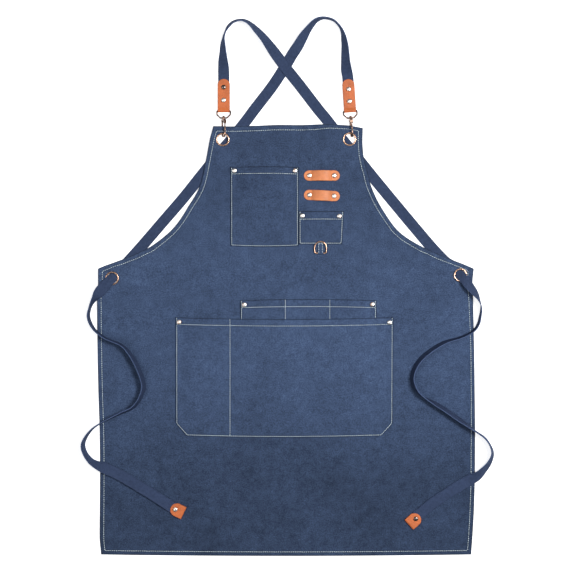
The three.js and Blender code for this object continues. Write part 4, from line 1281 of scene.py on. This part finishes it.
class APRON_OT_straps(bpy.types.Operator):
    """Webbing straps that cross at the back, go through the waist eyelets and run on as ties"""

    bl_idname = "apron.straps"
    bl_label = "Straps"

    def execute(self, context):
        thick, blunt = WEBBING["thick"], WEBBING["blunt"]
        for name, (rows, nodes) in STRAPS.items():
            centres, across, through, width = strap_line(rows)
            full = np.minimum(WEBBING["width"], width * WEBBING["bow"])
            piece = ribbon_piece(name, centres, across, through, width, thick, full, blunt)
            dress(piece, "ribbed_webbing", nodes)
        return {"FINISHED"}


def body_seam(side, y):
    """The body's left or right seam at a height."""
    sign = INWARD[side]
    slant = np.hypot(1, edge_slope(side, "armhole", y))
    armhole = edge_line(side, "armhole", y) + sign * seam_inset(side, "armhole", y) * slant
    plain = edge_line(side, "side", y) + sign * seam_inset(side, "side", y)
    lower = np.maximum(armhole, plain) if sign > 0 else np.minimum(armhole, plain)
    return np.where(y >= HIP, armhole, lower)


def body_seams():
    """Lines of the body's stitching."""
    lines, ends = [], []
    for side in INWARD:
        high, low = body_seam(side, np.array([BIB_TOP, SKIRT["bottom"]]))
        y = np.arange(top_seam(high), bottom_seam(low), -SEAM_STEP)
        x = body_seam(side, y)
        ends.append((x[0], x[-1]))
        lines.append(np.stack([x, y], axis=1))
    for seam, left, right in zip((top_seam, bottom_seam), *ends):
        x = np.arange(left, right, SEAM_STEP)
        lines.append(np.stack([x, seam(x)], axis=1))
    return lines


def pocket_seams(pocket):
    """Lines of a pocket's stitching: round its sewn edges, along its mouth and between compartments."""
    seam, end = POCKET["seam"], POCKET["thread_end"]
    corner = POCKET["corner"] * seam
    clip_x, clip_y = pocket.clip
    inside = max(clip_x, seam) + (corner if clip_x else 0)
    x = np.arange(pocket.left + inside, pocket_right(pocket, pocket.bottom) - inside, SEAM_STEP)
    foot = np.stack([x, pocket_bottom(pocket, x) + seam], axis=1)
    start = pocket.bottom + max(clip_y - corner, seam)
    left = [[pocket.left + seam, pocket.top - end], [pocket.left + seam, start]]
    right = [[pocket_right(pocket, start) - seam, start], [pocket.right - seam, pocket.top - end]]
    x = np.arange(pocket.left + seam, pocket.right - seam, SEAM_STEP)
    hem = np.stack([x, pocket_mouth(pocket, x) - pocket.hem], axis=1)
    lines = [np.concatenate([left, foot, right]), hem]
    for x in pocket.seams:
        high, low = pocket_mouth(pocket, x) - end, pocket_bottom(pocket, x) + seam
        lines.append(np.array([[x, high], [x, low]]))
    return lines


def stitch_shape():
    """One stitch along x from -1 to 1 with radius 1, as vertices and faces."""
    angle = np.arange(STITCH_SIDES) * 2 * math.pi / STITCH_SIDES
    rings = [
        np.column_stack([np.full(STITCH_SIDES, x), radius * np.cos(angle), radius * np.sin(angle)])
        for x, radius in STITCH_RINGS
    ]
    vertices = np.concatenate([*rings, [[-1, 0, 0], [1, 0, 0]]])
    tail = len(STITCH_RINGS) * STITCH_SIDES
    faces = []
    for n in range(STITCH_SIDES):
        m = (n + 1) % STITCH_SIDES
        for k in range(len(STITCH_RINGS) - 1):
            here, there = k * STITCH_SIDES, (k + 1) * STITCH_SIDES
            faces.append([here + n, there + n, there + m, here + m])
        faces.append([tail, n, m])
        faces.append([tail + 1, tail - STITCH_SIDES + m, tail - STITCH_SIDES + n])
    return vertices, faces


def stitch_piece(name, lines, surface):
    """Stitches along lines on a surface, joined in one mesh."""
    sizes = bpy.context.scene.apron_sizes
    chance = np.random.default_rng(JITTER_SEED)
    pitch, length, radius = sizes.pitch / MM, sizes.stitch / MM, sizes.thread / MM
    shape, faces = stitch_shape()
    spots, heads = [], []
    for line in lines:
        run = along(line)
        count = max(int(run[-1] / pitch), 1)
        middle = (np.arange(count) + 0.5) * run[-1] / count
        tail, head = (
            np.column_stack([np.interp(middle + half, run, column) for column in line.T])
            for half in (-length / 2, length / 2)
        )
        spots.append((tail + head) / 2)
        heads.append(head - tail)
    spots, heads = np.concatenate(spots), unit(np.concatenate(heads))
    count = len(spots)
    yaw = chance.normal(0, STITCH["yaw"], count)
    heads = np.stack([heads[:, 0] - yaw * heads[:, 1], heads[:, 1] + yaw * heads[:, 0]], axis=1)
    sides = np.stack([-heads[:, 1], heads[:, 0]], axis=1)
    half = length / 2 * chance.uniform(*STITCH["length"], count)
    thick = radius * chance.uniform(*STITCH["thick"], count)
    bowed = shape[:, 2] * STITCH["flat"] - STITCH["dip"] * shape[:, 0] ** 2 + STITCH["stand"]
    plan = (
        spots[:, None]
        + heads[:, None] * (half[:, None] * shape[:, 0])[..., None]
        + sides[:, None] * (thick[:, None] * shape[:, 1])[..., None]
    )
    height = surface(spots[:, 0], spots[:, 1])[:, None] + thick[:, None] * bowed
    vertices = np.concatenate([plan, height[..., None]], axis=-1).reshape(-1, 3)
    joined = [[corner + n * len(shape) for corner in face] for n in range(count) for face in faces]
    return dress(new_piece(name, vertices, joined), "pale_thread")


class APRON_OT_stitching(bpy.types.Operator):
    """Pale stitching on the hems and pockets"""

    bl_idname = "apron.stitching"
    bl_label = "Stitching"

    def execute(self, context):
        stitch_piece("stitches_body", body_seams(), hemmed_top)
        for pocket in POCKETS:
            stitch_piece("stitches_" + pocket.name, pocket_seams(pocket), partial(pocket_face, pocket))
        return {"FINISHED"}


def rounded_end(width, past):
    """Width along a strip's rounded end, by how far past the start of the rounding a place lies."""
    return width * np.sqrt(1 - np.clip(past, 0, ROUND_END) ** 2)


def folded_line(tab):
    """Strip folded round a bar, from its side: y and z along it, from the lower end to the upper."""
    thick, bore, room, length = (tab[key] for key in ("thick", "bore", "room", "length"))
    fold = bore + thick / 2
    angle = np.linspace(0, math.pi, FOLD["points"])
    bend = np.column_stack([-fold * np.sin(angle), thick / 2 + fold * (1 - np.cos(angle))])
    points = [[length, thick / 2], *bend]
    upper = 1.5 * thick + room
    settle = FOLD["settle"] * (2 * bore - room)
    if settle > 0:
        points.append([settle, upper])
    points.append([length, upper])
    points = np.array(points)
    run = along(points)
    places = np.linspace(0, run[-1], int(run[-1] / FOLD["step"]))
    return np.column_stack([np.interp(places, run, column) for column in points.T])


def folded_piece(name, tab, matrix):
    """Strip folded round a bar, with rounded ends where its plan has them, placed by a matrix."""
    line = folded_line(tab)
    count = len(line)
    centres = np.column_stack([np.zeros(count), line])
    ahead = unit(np.gradient(line, axis=0))
    across = np.tile([-1.0, 0, 0], (count, 1))
    through = np.column_stack([np.zeros(count), -ahead[:, 1], ahead[:, 0]])
    rounding = tab.get("round", 0)
    widths = np.full(count, float(tab["width"]))
    if rounding:
        widths = rounded_end(tab["width"], (line[:, 0] - tab["length"] + rounding) / rounding)
    piece = ribbon_piece(name, centres, across, through, widths, tab["thick"])
    piece.data.transform(matrix)
    return piece


def tie_tab_place(tab):
    return placed(tab.x, tab.y, on_cloth(tab.x, tab.y, TIE_TAB["seat"]), tab.turn)


def snap_place(snap):
    return placed(snap.x, snap.y, 0, snap.lean)


def swivel_height(snap):
    return HOOK["spine"] + HOOK["legs"] / 2 * math.cos(math.radians(snap.tilt))


def wire_slope(snap):
    """Slope of the wire loop from its bar up to the swivel."""
    return math.asin((swivel_height(snap) - SNAP_LOOP["bar"]) / SNAP_LOOP["reach"])


def shoulder_tab_place(snap):
    return snap_place(snap) @ moved(0, SNAP_LOOP["reach"] * math.cos(wire_slope(snap)), 0)


def tool_loop_place(loop):
    return placed(loop.x, loop.y, on_cloth(loop.x, loop.y, TOOL_LOOP["seat"]), loop.turn)


def tool_loop_piece(loop):
    """Leather strip arched over the cloth, with round ends."""
    half, bend = TOOL_LOOP["length"] / 2, TOOL_LOOP["width"] / 2
    end = half - bend + bend * np.sin(np.linspace(0, math.pi / 2, TOOL_LOOP["end_points"]))
    right = np.concatenate([np.linspace(0, half - bend, TOOL_LOOP["points"])[:-1], end])
    offset = np.concatenate([-right[:0:-1], right])
    widths = rounded_end(TOOL_LOOP["width"], (np.abs(offset) - half + bend) / bend)
    foot = loop.reach - TOOL_LOOP["flat"]
    arch = TOOL_LOOP["arch"] * (1 - np.minimum(1, np.abs(offset) / foot) ** TOOL_LOOP["power"])
    centres = np.column_stack([offset, np.zeros_like(offset), arch + TOOL_LOOP["thick"] / 2])
    across = np.tile([0.0, 1, 0], (len(offset), 1))
    through = np.cross(unit(np.gradient(centres, axis=0)), across)
    piece = ribbon_piece("leather_" + loop.name, centres, across, through, widths, TOOL_LOOP["thick"])
    piece.data.transform(tool_loop_place(loop))
    return piece


class APRON_OT_leather(bpy.types.Operator):
    """Leather: arched loops on the bib, folded shoulder tabs and tabs on the ties' ends"""

    bl_idname = "apron.leather"
    bl_label = "Leather"

    def execute(self, context):
        for loop in TOOL_LOOPS:
            dress(tool_loop_piece(loop), "pale_leather", [loop.name])
        tabs = [("shoulder_tab_" + snap.side, SHOULDER_TAB, shoulder_tab_place(snap)) for snap in SNAPS]
        tabs += [(tab.name, TIE_TAB, tie_tab_place(tab)) for tab in TIE_TABS]
        for name, tab, matrix in tabs:
            dress(folded_piece("leather_" + name, tab, matrix), "tan_leather", [name])
        return {"FINISHED"}


def spin_about(centre, axis, degrees, steps):
    """Spins the selected edges right-handed about an axis, in millimetres."""
    bpy.ops.mesh.spin(
        steps=steps, angle=-math.radians(degrees), center=tuple(Vector(centre) * MM), axis=axis)


def draw_to(step):
    """Draws the selected edges out by a step in millimetres."""
    if step.length > SHORTEST_STEP:
        bpy.ops.mesh.extrude_region_move(TRANSFORM_OT_translate={"value": tuple(step * MM)})


def close_up(piece):
    """Merges a drawn shape's doubles, fills its open ends and points its faces outwards."""
    bpy.ops.mesh.select_all(action="SELECT")
    bpy.ops.mesh.remove_doubles(threshold=MERGE)
    bpy.ops.mesh.fill_holes(sides=0)
    bpy.ops.object.mode_set(mode="OBJECT")
    face_out(piece)
    smooth_by_angle(piece)


def outline(name, points, **options):
    """Closed outline, opened in edit mode: a circle of edges that takes the points in millimetres."""
    piece = primitive(name, bpy.ops.mesh.primitive_circle_add, vertices=len(points), radius=MM, **options)
    for vertex, point in zip(piece.data.vertices, points):
        vertex.co = Vector(point) * MM
    edit(piece)
    return piece


def spun_ring(name, profile, steps=RING_STEPS):
    """Closed ring about Z: an outline with the profile's radii and heights, spun round."""
    piece = outline(name, [(radius, 0, height) for radius, height in profile])
    spin_about((0, 0, 0), (0, 0, 1), 360, steps)
    close_up(piece)
    return piece


def wire_end(name, wire, place, rotation):
    """Circle that a wire is drawn from, opened in edit mode."""
    piece = primitive(
        name, bpy.ops.mesh.primitive_circle_add, vertices=WIRE_SIDES, radius=wire * MM,
        location=Vector(place) * MM, rotation=rotation)
    edit(piece)
    return piece


def ring_rod(name, wire, corners):
    """Closed ring of round wire in the XY plane through corners with their own radii."""
    points = [Vector((x, y, 0)) for x, y, _ in corners]
    start = (points[-1] + points[0]) / 2
    piece = wire_end(name, wire, start, (points[0] - start).to_track_quat("Z", "Y").to_euler())
    here = start
    for k, (_, _, radius) in enumerate(corners):
        into = (points[k] - here).normalized()
        out = (points[(k + 1) % len(points)] - points[k]).normalized()
        turn = math.degrees(into.xy.angle_signed(out.xy))
        back = radius * abs(math.tan(math.radians(turn) / 2))
        draw_to(points[k] - into * back - here)
        left = Vector((-into.y, into.x, 0)) * math.copysign(radius, -turn)
        steps = max(int(abs(turn) / BEND["degrees"]), BEND["least"])
        spin_about(points[k] - into * back + left, (0, 0, 1), -turn, steps)
        here = points[k] + out * back
    draw_to(start - here)
    close_up(piece)
    return piece


def eyelet_profile(cloth):
    """Half section of an eyelet that clamps the cloth: rolled front rim, barrel and back washer."""
    bore, flange, gap, bevel = (EYELET[key] for key in ("bore", "flange", "gap", "bevel"))
    middle, half = (bore + flange) / 2, (flange - bore) / 2
    front = cloth + gap
    back = -gap - EYELET["back"]
    rim = [
        (middle + half * math.cos(angle), front + EYELET["crown"] * math.sin(angle))
        for angle in np.linspace(0, math.pi, EYELET["rim_points"])
    ]
    return [
        *rim,
        (bore, back + bevel),
        (bore + bevel, back),
        (flange - bevel, back),
        (flange, back + bevel),
        (flange, -gap),
        (EYELET["barrel"], -gap),
        (EYELET["barrel"], front),
    ]


class APRON_OT_eyelets(bpy.types.Operator):
    """Rolled eyelets at the bib's corners and the hips"""

    bl_idname = "apron.eyelets"
    bl_label = "Eyelets"

    def execute(self, context):
        for eyelet in EYELETS:
            piece = spun_ring("bronze_" + eyelet.name, eyelet_profile(eyelet.cloth))
            seat = float(cloth_lift(eyelet.y)) + EYELET["seat"]
            piece.data.transform(placed(eyelet.x, eyelet.y, seat))
            dress(piece, "bronze_plate", [eyelet.name])
        return {"FINISHED"}


def rivet_model():
    """Domed rivet: the upper half of a ball, flattened, with a rim and a shank drawn down from it."""
    head, shank = RIVET["head"], RIVET["shank"]
    piece = primitive(
        "rivet_model", bpy.ops.mesh.primitive_uv_sphere_add, segments=RIVET["sides"],
        ring_count=RIVET["rings"], radius=head * MM)
    edit(piece)
    bpy.ops.mesh.bisect(plane_co=(0, 0, MERGE), plane_no=(0, 0, 1), clear_inner=True, use_fill=False)
    bpy.ops.mesh.select_all(action="SELECT")
    bpy.ops.transform.resize(value=(1, 1, RIVET["dome"] / head))
    bpy.ops.mesh.select_all(action="DESELECT")
    bpy.ops.mesh.select_non_manifold()
    draw_to(Vector((0, 0, -RIVET["rim"])))
    bpy.ops.mesh.extrude_region_move()
    bpy.ops.transform.resize(value=(shank / head, shank / head, 1))
    draw_to(Vector((0, 0, -RIVET["below"])))
    close_up(piece)
    return piece


def rivet_places():
    """Every rivet's name and the matrix of its seat."""
    places = []
    by_name = {pocket.name: pocket for pocket in POCKETS}
    for rivet in POCKET_RIVETS:
        seat = float(pocket_face(by_name[rivet.pocket], np.array(rivet.x), np.array(rivet.y)))
        places.append((rivet.name, placed(rivet.x, rivet.y, seat)))
    for loop in TOOL_LOOPS:
        level = loop.name.split("_")[-1]
        for side, sign in INWARD.items():
            spot = tool_loop_place(loop) @ moved(-sign * loop.reach, 0, TOOL_LOOP["thick"])
            places.append((f"rivet_loop_{side}_{level}", spot))
    seat = 2 * SHOULDER_TAB["thick"] + SHOULDER_TAB["room"]
    for snap in SNAPS:
        for k, run in enumerate(snap.rivets):
            places.append((f"rivet_tab_{snap.side}_{k + 1}", snap_place(snap) @ moved(0, run, seat)))
    seat = 2 * TIE_TAB["thick"] + TIE_TAB["room"]
    for tab in TIE_TABS:
        spot = tie_tab_place(tab) @ moved(0, TIE_TAB["rivet"], seat)
        places.append((tab.name.replace("tie_tab", "rivet_tie"), spot))
    return places


class APRON_OT_rivets(bpy.types.Operator):
    """Domed rivets on the pockets and the leather"""

    bl_idname = "apron.rivets"
    bl_label = "Rivets"

    def execute(self, context):
        model = rivet_model()
        for name, matrix in rivet_places():
            piece = bpy.data.objects.new("metal_" + name, model.data.copy())
            context.scene.collection.objects.link(piece)
            piece.data.transform(matrix @ moved(0, 0, RIVET["rim"]))
            finish = "gunmetal_plate" if name in DARK_RIVETS else "nickel_plate"
            dress(piece, finish, [name])
        bpy.data.objects.remove(model)
        return {"FINISHED"}


def barrel(name, radius, low, high, bevel, height=0.0, axis="Y", tip=None):
    """Short bevelled cylinder along X or Y, from low to high at a height."""
    middle = (low + high) / 2
    place, turn = (0, middle, height), (-math.pi / 2, 0, 0)
    if axis == "X":
        place, turn = (middle, 0, height), (0, math.pi / 2, 0)
    piece = primitive(
        name, bpy.ops.mesh.primitive_cone_add, vertices=BARREL_SIDES, radius1=radius * MM,
        radius2=(radius if tip is None else tip) * MM, depth=(high - low) * MM,
        location=Vector(place) * MM, rotation=turn)
    edit(piece)
    bpy.ops.mesh.edges_select_sharp(sharpness=BEVEL_ANGLE)
    bpy.ops.mesh.bevel(offset=bevel * MM, segments=2)
    bpy.ops.object.mode_set(mode="OBJECT")
    return piece


def pivot_barrel(name, radius, half, bevel=BEVELS["pin"]):
    """Barrel on the gate's axis."""
    piece = barrel(name, radius, -half, half, bevel, HOOK["legs"], axis="X")
    piece.data.transform(moved(0, GATE["pivot"], 0))
    return piece


def yoke_block():
    """Block that carries the gate's pin: its outline drawn across, bevelled, with a slot for the eye."""
    depth, size = HOOK["depth"], HOOK["slot_depth"]
    piece = outline("yoke", [(-depth / 2, y, z) for y, z in YOKE], fill_type="NGON")
    draw_to(Vector((depth, 0, 0)))
    close_up(piece)
    edit(piece)
    bpy.ops.mesh.bevel(offset=HOOK["bevel"] * MM, segments=3)
    bpy.ops.object.mode_set(mode="OBJECT")
    slot = primitive(
        "slot", bpy.ops.mesh.primitive_cube_add, size=MM, scale=(HOOK["slot"], size, size),
        location=Vector((0, HOOK["slot_end"] - size / 2, HOOK["legs"])) * MM)
    combine(piece, slot, "DIFFERENCE")
    return piece


def hook_model(name):
    """Hook in its own plane: a wire turned round the nose, with the yoke, the pin and the swivel's stem."""
    middle = HOOK["legs"] / 2
    nose, seat, past = HOOK["nose"], HOOK["seat"], HOOK["stem_past"]
    piece = wire_end(name, HOOK["wire"], (0, HOOK["start"], 0), (math.pi / 2, 0, 0))
    draw_to(Vector((0, nose - HOOK["start"], 0)))
    spin_about((0, nose, middle), (1, 0, 0), -180, HOOK["nose_steps"])
    draw_to(Vector((0, HOOK["tip"] - nose, 0)))
    close_up(piece)
    top, taper = seat + HOOK["head_height"], HOOK["head"] * HOOK["head_taper"]
    combine(piece, yoke_block(), "UNION")
    combine(piece, pivot_barrel("pin", GATE["pin"], HOOK["depth"] / 2 + HOOK["pin_past"]), "UNION")
    stem = barrel("stem", HOOK["stem"], -seat - past, seat + past, BEVELS["stem"], middle)
    combine(piece, stem, "UNION")
    combine(piece, barrel("head", HOOK["head"], seat, top, BEVELS["head"], middle, tip=taper), "UNION")
    return piece


def gate_model(name):
    """Spring gate: a round bar from the tip to a flat eye on the pin."""
    pivot, neck, past = GATE["pivot"], GATE["neck"], GATE["tongue_past"]
    piece = barrel(name, GATE["radius"], GATE["tip"], neck, BEVELS["gate"], HOOK["legs"])
    tongue = primitive(
        "tongue", bpy.ops.mesh.primitive_cube_add, size=MM,
        scale=(2 * GATE["half"], pivot - neck + past, 2 * GATE["radius"] * GATE["tongue"]),
        location=Vector((0, (pivot + neck - past) / 2, HOOK["legs"])) * MM)
    combine(piece, tongue, "UNION")
    combine(piece, pivot_barrel("eye", GATE["eye"], GATE["half"]), "UNION")
    combine(piece, pivot_barrel("bore", GATE["pin"] + GATE["play"], GATE["drill"]), "DIFFERENCE")
    return piece


def wire_model(name, slope):
    """Wire loop with its swivel collar at the origin and its bar along +Y."""
    half, reach, foot, corner = (SNAP_LOOP[key] for key in ("half", "reach", "foot", "corner"))
    low = reach - SNAP_LOOP["shoulder"]
    piece = ring_rod(name, SNAP_LOOP["wire"], (
        (-half, reach, corner),
        (-half, low, corner),
        (-foot, 0, corner),
        (foot, 0, corner),
        (half, low, corner),
        (half, reach, corner),
    ))
    edge, bevel, radius = COLLAR["half"], COLLAR["bevel"], COLLAR["radius"]
    inner = COLLAR["bore"] + COLLAR["skin"]
    collar = spun_ring("collar", (
        (inner, -edge),
        (radius - bevel, -edge),
        (radius, -edge + bevel),
        (radius, edge - bevel),
        (radius - bevel, edge),
        (inner, edge),
    ), COLLAR["steps"])
    collar.data.transform(Matrix.Rotation(math.pi / 2 + slope, 4, "X"))
    combine(piece, collar, "UNION")
    bore = barrel("bore", COLLAR["bore"], -COLLAR["drill"], COLLAR["drill"], BEVELS["bore"])
    bore.data.transform(Matrix.Rotation(slope, 4, "X"))
    combine(piece, bore, "DIFFERENCE")
    return piece


class APRON_OT_snaps(bpy.types.Operator):
    """Swivel snap hooks with spring gates and wire loops"""

    bl_idname = "apron.snaps"
    bl_label = "Snap hooks"

    def execute(self, context):
        for snap in SNAPS:
            tilt, slope = math.radians(snap.tilt), wire_slope(snap)
            shift = moved(-HOOK["legs"] / 2 * math.sin(tilt), 0, HOOK["spine"])
            lift = moved(0, 0, swivel_height(snap))
            hook_place = snap_place(snap) @ shift @ Matrix.Rotation(tilt, 4, "Y")
            wire_place = snap_place(snap) @ lift @ Matrix.Rotation(-slope, 4, "X")
            for node, make, place, body in (
                ("snap_hook_", hook_model, hook_place, ROOT),
                ("snap_gate_", gate_model, hook_place, "gate_" + snap.side),
                ("snap_loop_", partial(wire_model, slope=slope), wire_place, ROOT),
            ):
                piece = make("bronze_" + node + snap.side)
                piece.data.transform(place)
                smooth_by_angle(piece)
                dress(piece, "aged_bronze", [node + snap.side], body)
        return {"FINISHED"}


class APRON_OT_ring(bpy.types.Operator):
    """Ring on its folded tape below the small pocket"""

    bl_idname = "apron.ring"
    bl_label = "Ring"

    def execute(self, context):
        x, bar, half, corner = (RING[key] for key in ("x", "bar", "half", "corner"))
        seat = on_cloth(x, bar, RING["seat"])
        ring = ring_rod("metal_d_ring", RING["wire"], (
            (half, 0, corner),
            (half, RING["height"], half),
            (-half, RING["height"], half),
            (-half, 0, corner),
        ))
        height = seat + TAPE["thick"] + TAPE["gap"] + RING["wire"]
        tilt = Matrix.Rotation(math.radians(RING["tilt"]), 4, "X")
        ring.data.transform(placed(x, bar, height) @ tilt)
        dress(ring, "bronze_plate", ["d_ring"])
        strip = {**TAPE, "bore": RING["wire"] + TAPE["gap"], "room": TAPE["gap"]}
        tape = folded_piece("webbing_d_ring_tape", strip, placed(x, bar, seat))
        dress(tape, "washed_canvas", ["d_ring_tape"])
        line = folded_line(strip)
        upper_y, upper_z = line[np.argmin(line[:, 0]):].T
        level = seat + TAPE["thick"] / 2
        ends = (bar + TAPE["length"], bar)
        seams = [np.array([[x + side * TAPE["seam"], y] for y in ends]) for side in (-1, 1)]
        stitch_piece(
            "stitches_d_ring_tape", seams, lambda _, y: level + np.interp(y - bar, upper_y, upper_z))
        return {"FINISHED"}


def soft_light(name, power, place, size):
    """Square area light aimed at the apron."""
    light = bpy.data.lights.new(name, "AREA")
    light.energy = power
    light.shape = "SQUARE"
    light.size = size
    holder = bpy.data.objects.new(name, light)
    holder.location = place
    holder.rotation_euler = (-Vector(place)).to_track_quat("-Z", "Y").to_euler()
    bpy.context.scene.collection.objects.link(holder)


class APRON_OT_stage(bpy.types.Operator):
    """Pale floor, soft studio light and a camera straight above"""

    bl_idname = "apron.stage"
    bl_label = "Stage"

    def execute(self, context):
        scene = context.scene
        stage = scene.apron_stage
        floor = primitive("floor", bpy.ops.mesh.primitive_plane_add, size=FLOOR["size"])
        floor.data.transform(Matrix.Translation((0, 0, -FLOOR["drop"])))
        finish = Finish(
            "pale_floor", specular_ior_level=0.1, emission_color=(1, 1, 1, 1), emission_strength=stage.glow)
        cloud = finish.noise(finish.place(), 3, 2)
        finish.paint(finish.scaled(tuple(stage.floor), 1.0 + cloud * 0.02), 0.9 + cloud * 0.05)
        floor.data.materials.append(finish.material)
        for lamp in LAMPS:
            soft_light(lamp.name, getattr(stage, lamp.power), lamp.place, lamp.size)
        world = bpy.data.worlds.new("studio")
        world.use_nodes = True
        background = world.node_tree.nodes["Background"]
        background.inputs["Color"].default_value = SKY_COLOUR
        background.inputs["Strength"].default_value = stage.sky
        scene.world = world
        scene.view_settings.view_transform = "Standard"
        camera = bpy.data.cameras.new("above")
        camera.lens = stage.lens
        wide = VIEW["pixels"] * VIEW["scale"] * MM
        height = wide * camera.lens / camera.sensor_width + VIEW["plane"] * MM
        holder = bpy.data.objects.new("above", camera)
        holder.location = (VIEW["x"] * MM, VIEW["y"] * MM, height)
        scene.collection.objects.link(holder)
        scene.camera = holder
        return {"FINISHED"}


STEPS = (
    "stage", "body", "pockets", "straps", "stitching", "leather", "eyelets", "rivets", "snaps", "ring",
)
GROUPS = {"apron_sizes": ApronSizes, "apron_colours": ApronColours, "apron_stage": ApronStage}


class APRON_PT_steps(bpy.types.Panel):
    """Lists the apron's pieces"""

    bl_idname = "APRON_PT_steps"
    bl_label = "Cross-back apron"
    bl_space_type = "VIEW_3D"
    bl_region_type = "UI"
    bl_category = "Apron"

    def draw(self, context):
        for step in STEPS:
            self.layout.operator("apron." + step)
        for name in GROUPS:
            box = self.layout.box()
            group = getattr(context.scene, name)
            for key in group.__annotations__:
                box.prop(group, key)


CLASSES = (
    ApronSizes, ApronColours, ApronStage, APRON_OT_stage, APRON_OT_body, APRON_OT_pockets, APRON_OT_straps,
    APRON_OT_stitching, APRON_OT_leather, APRON_OT_eyelets, APRON_OT_rivets, APRON_OT_snaps, APRON_OT_ring,
    APRON_PT_steps,
)


def register():
    for kind in CLASSES:
        bpy.utils.register_class(kind)
    for name, group in GROUPS.items():
        setattr(bpy.types.Scene, name, PointerProperty(type=group))


def unregister():
    for name in GROUPS:
        delattr(bpy.types.Scene, name)
    for kind in reversed(CLASSES):
        bpy.utils.unregister_class(kind)


def main():
    register()
    for step in STEPS:
        getattr(bpy.ops.apron, step)()


if __name__ == "__main__":
    main()
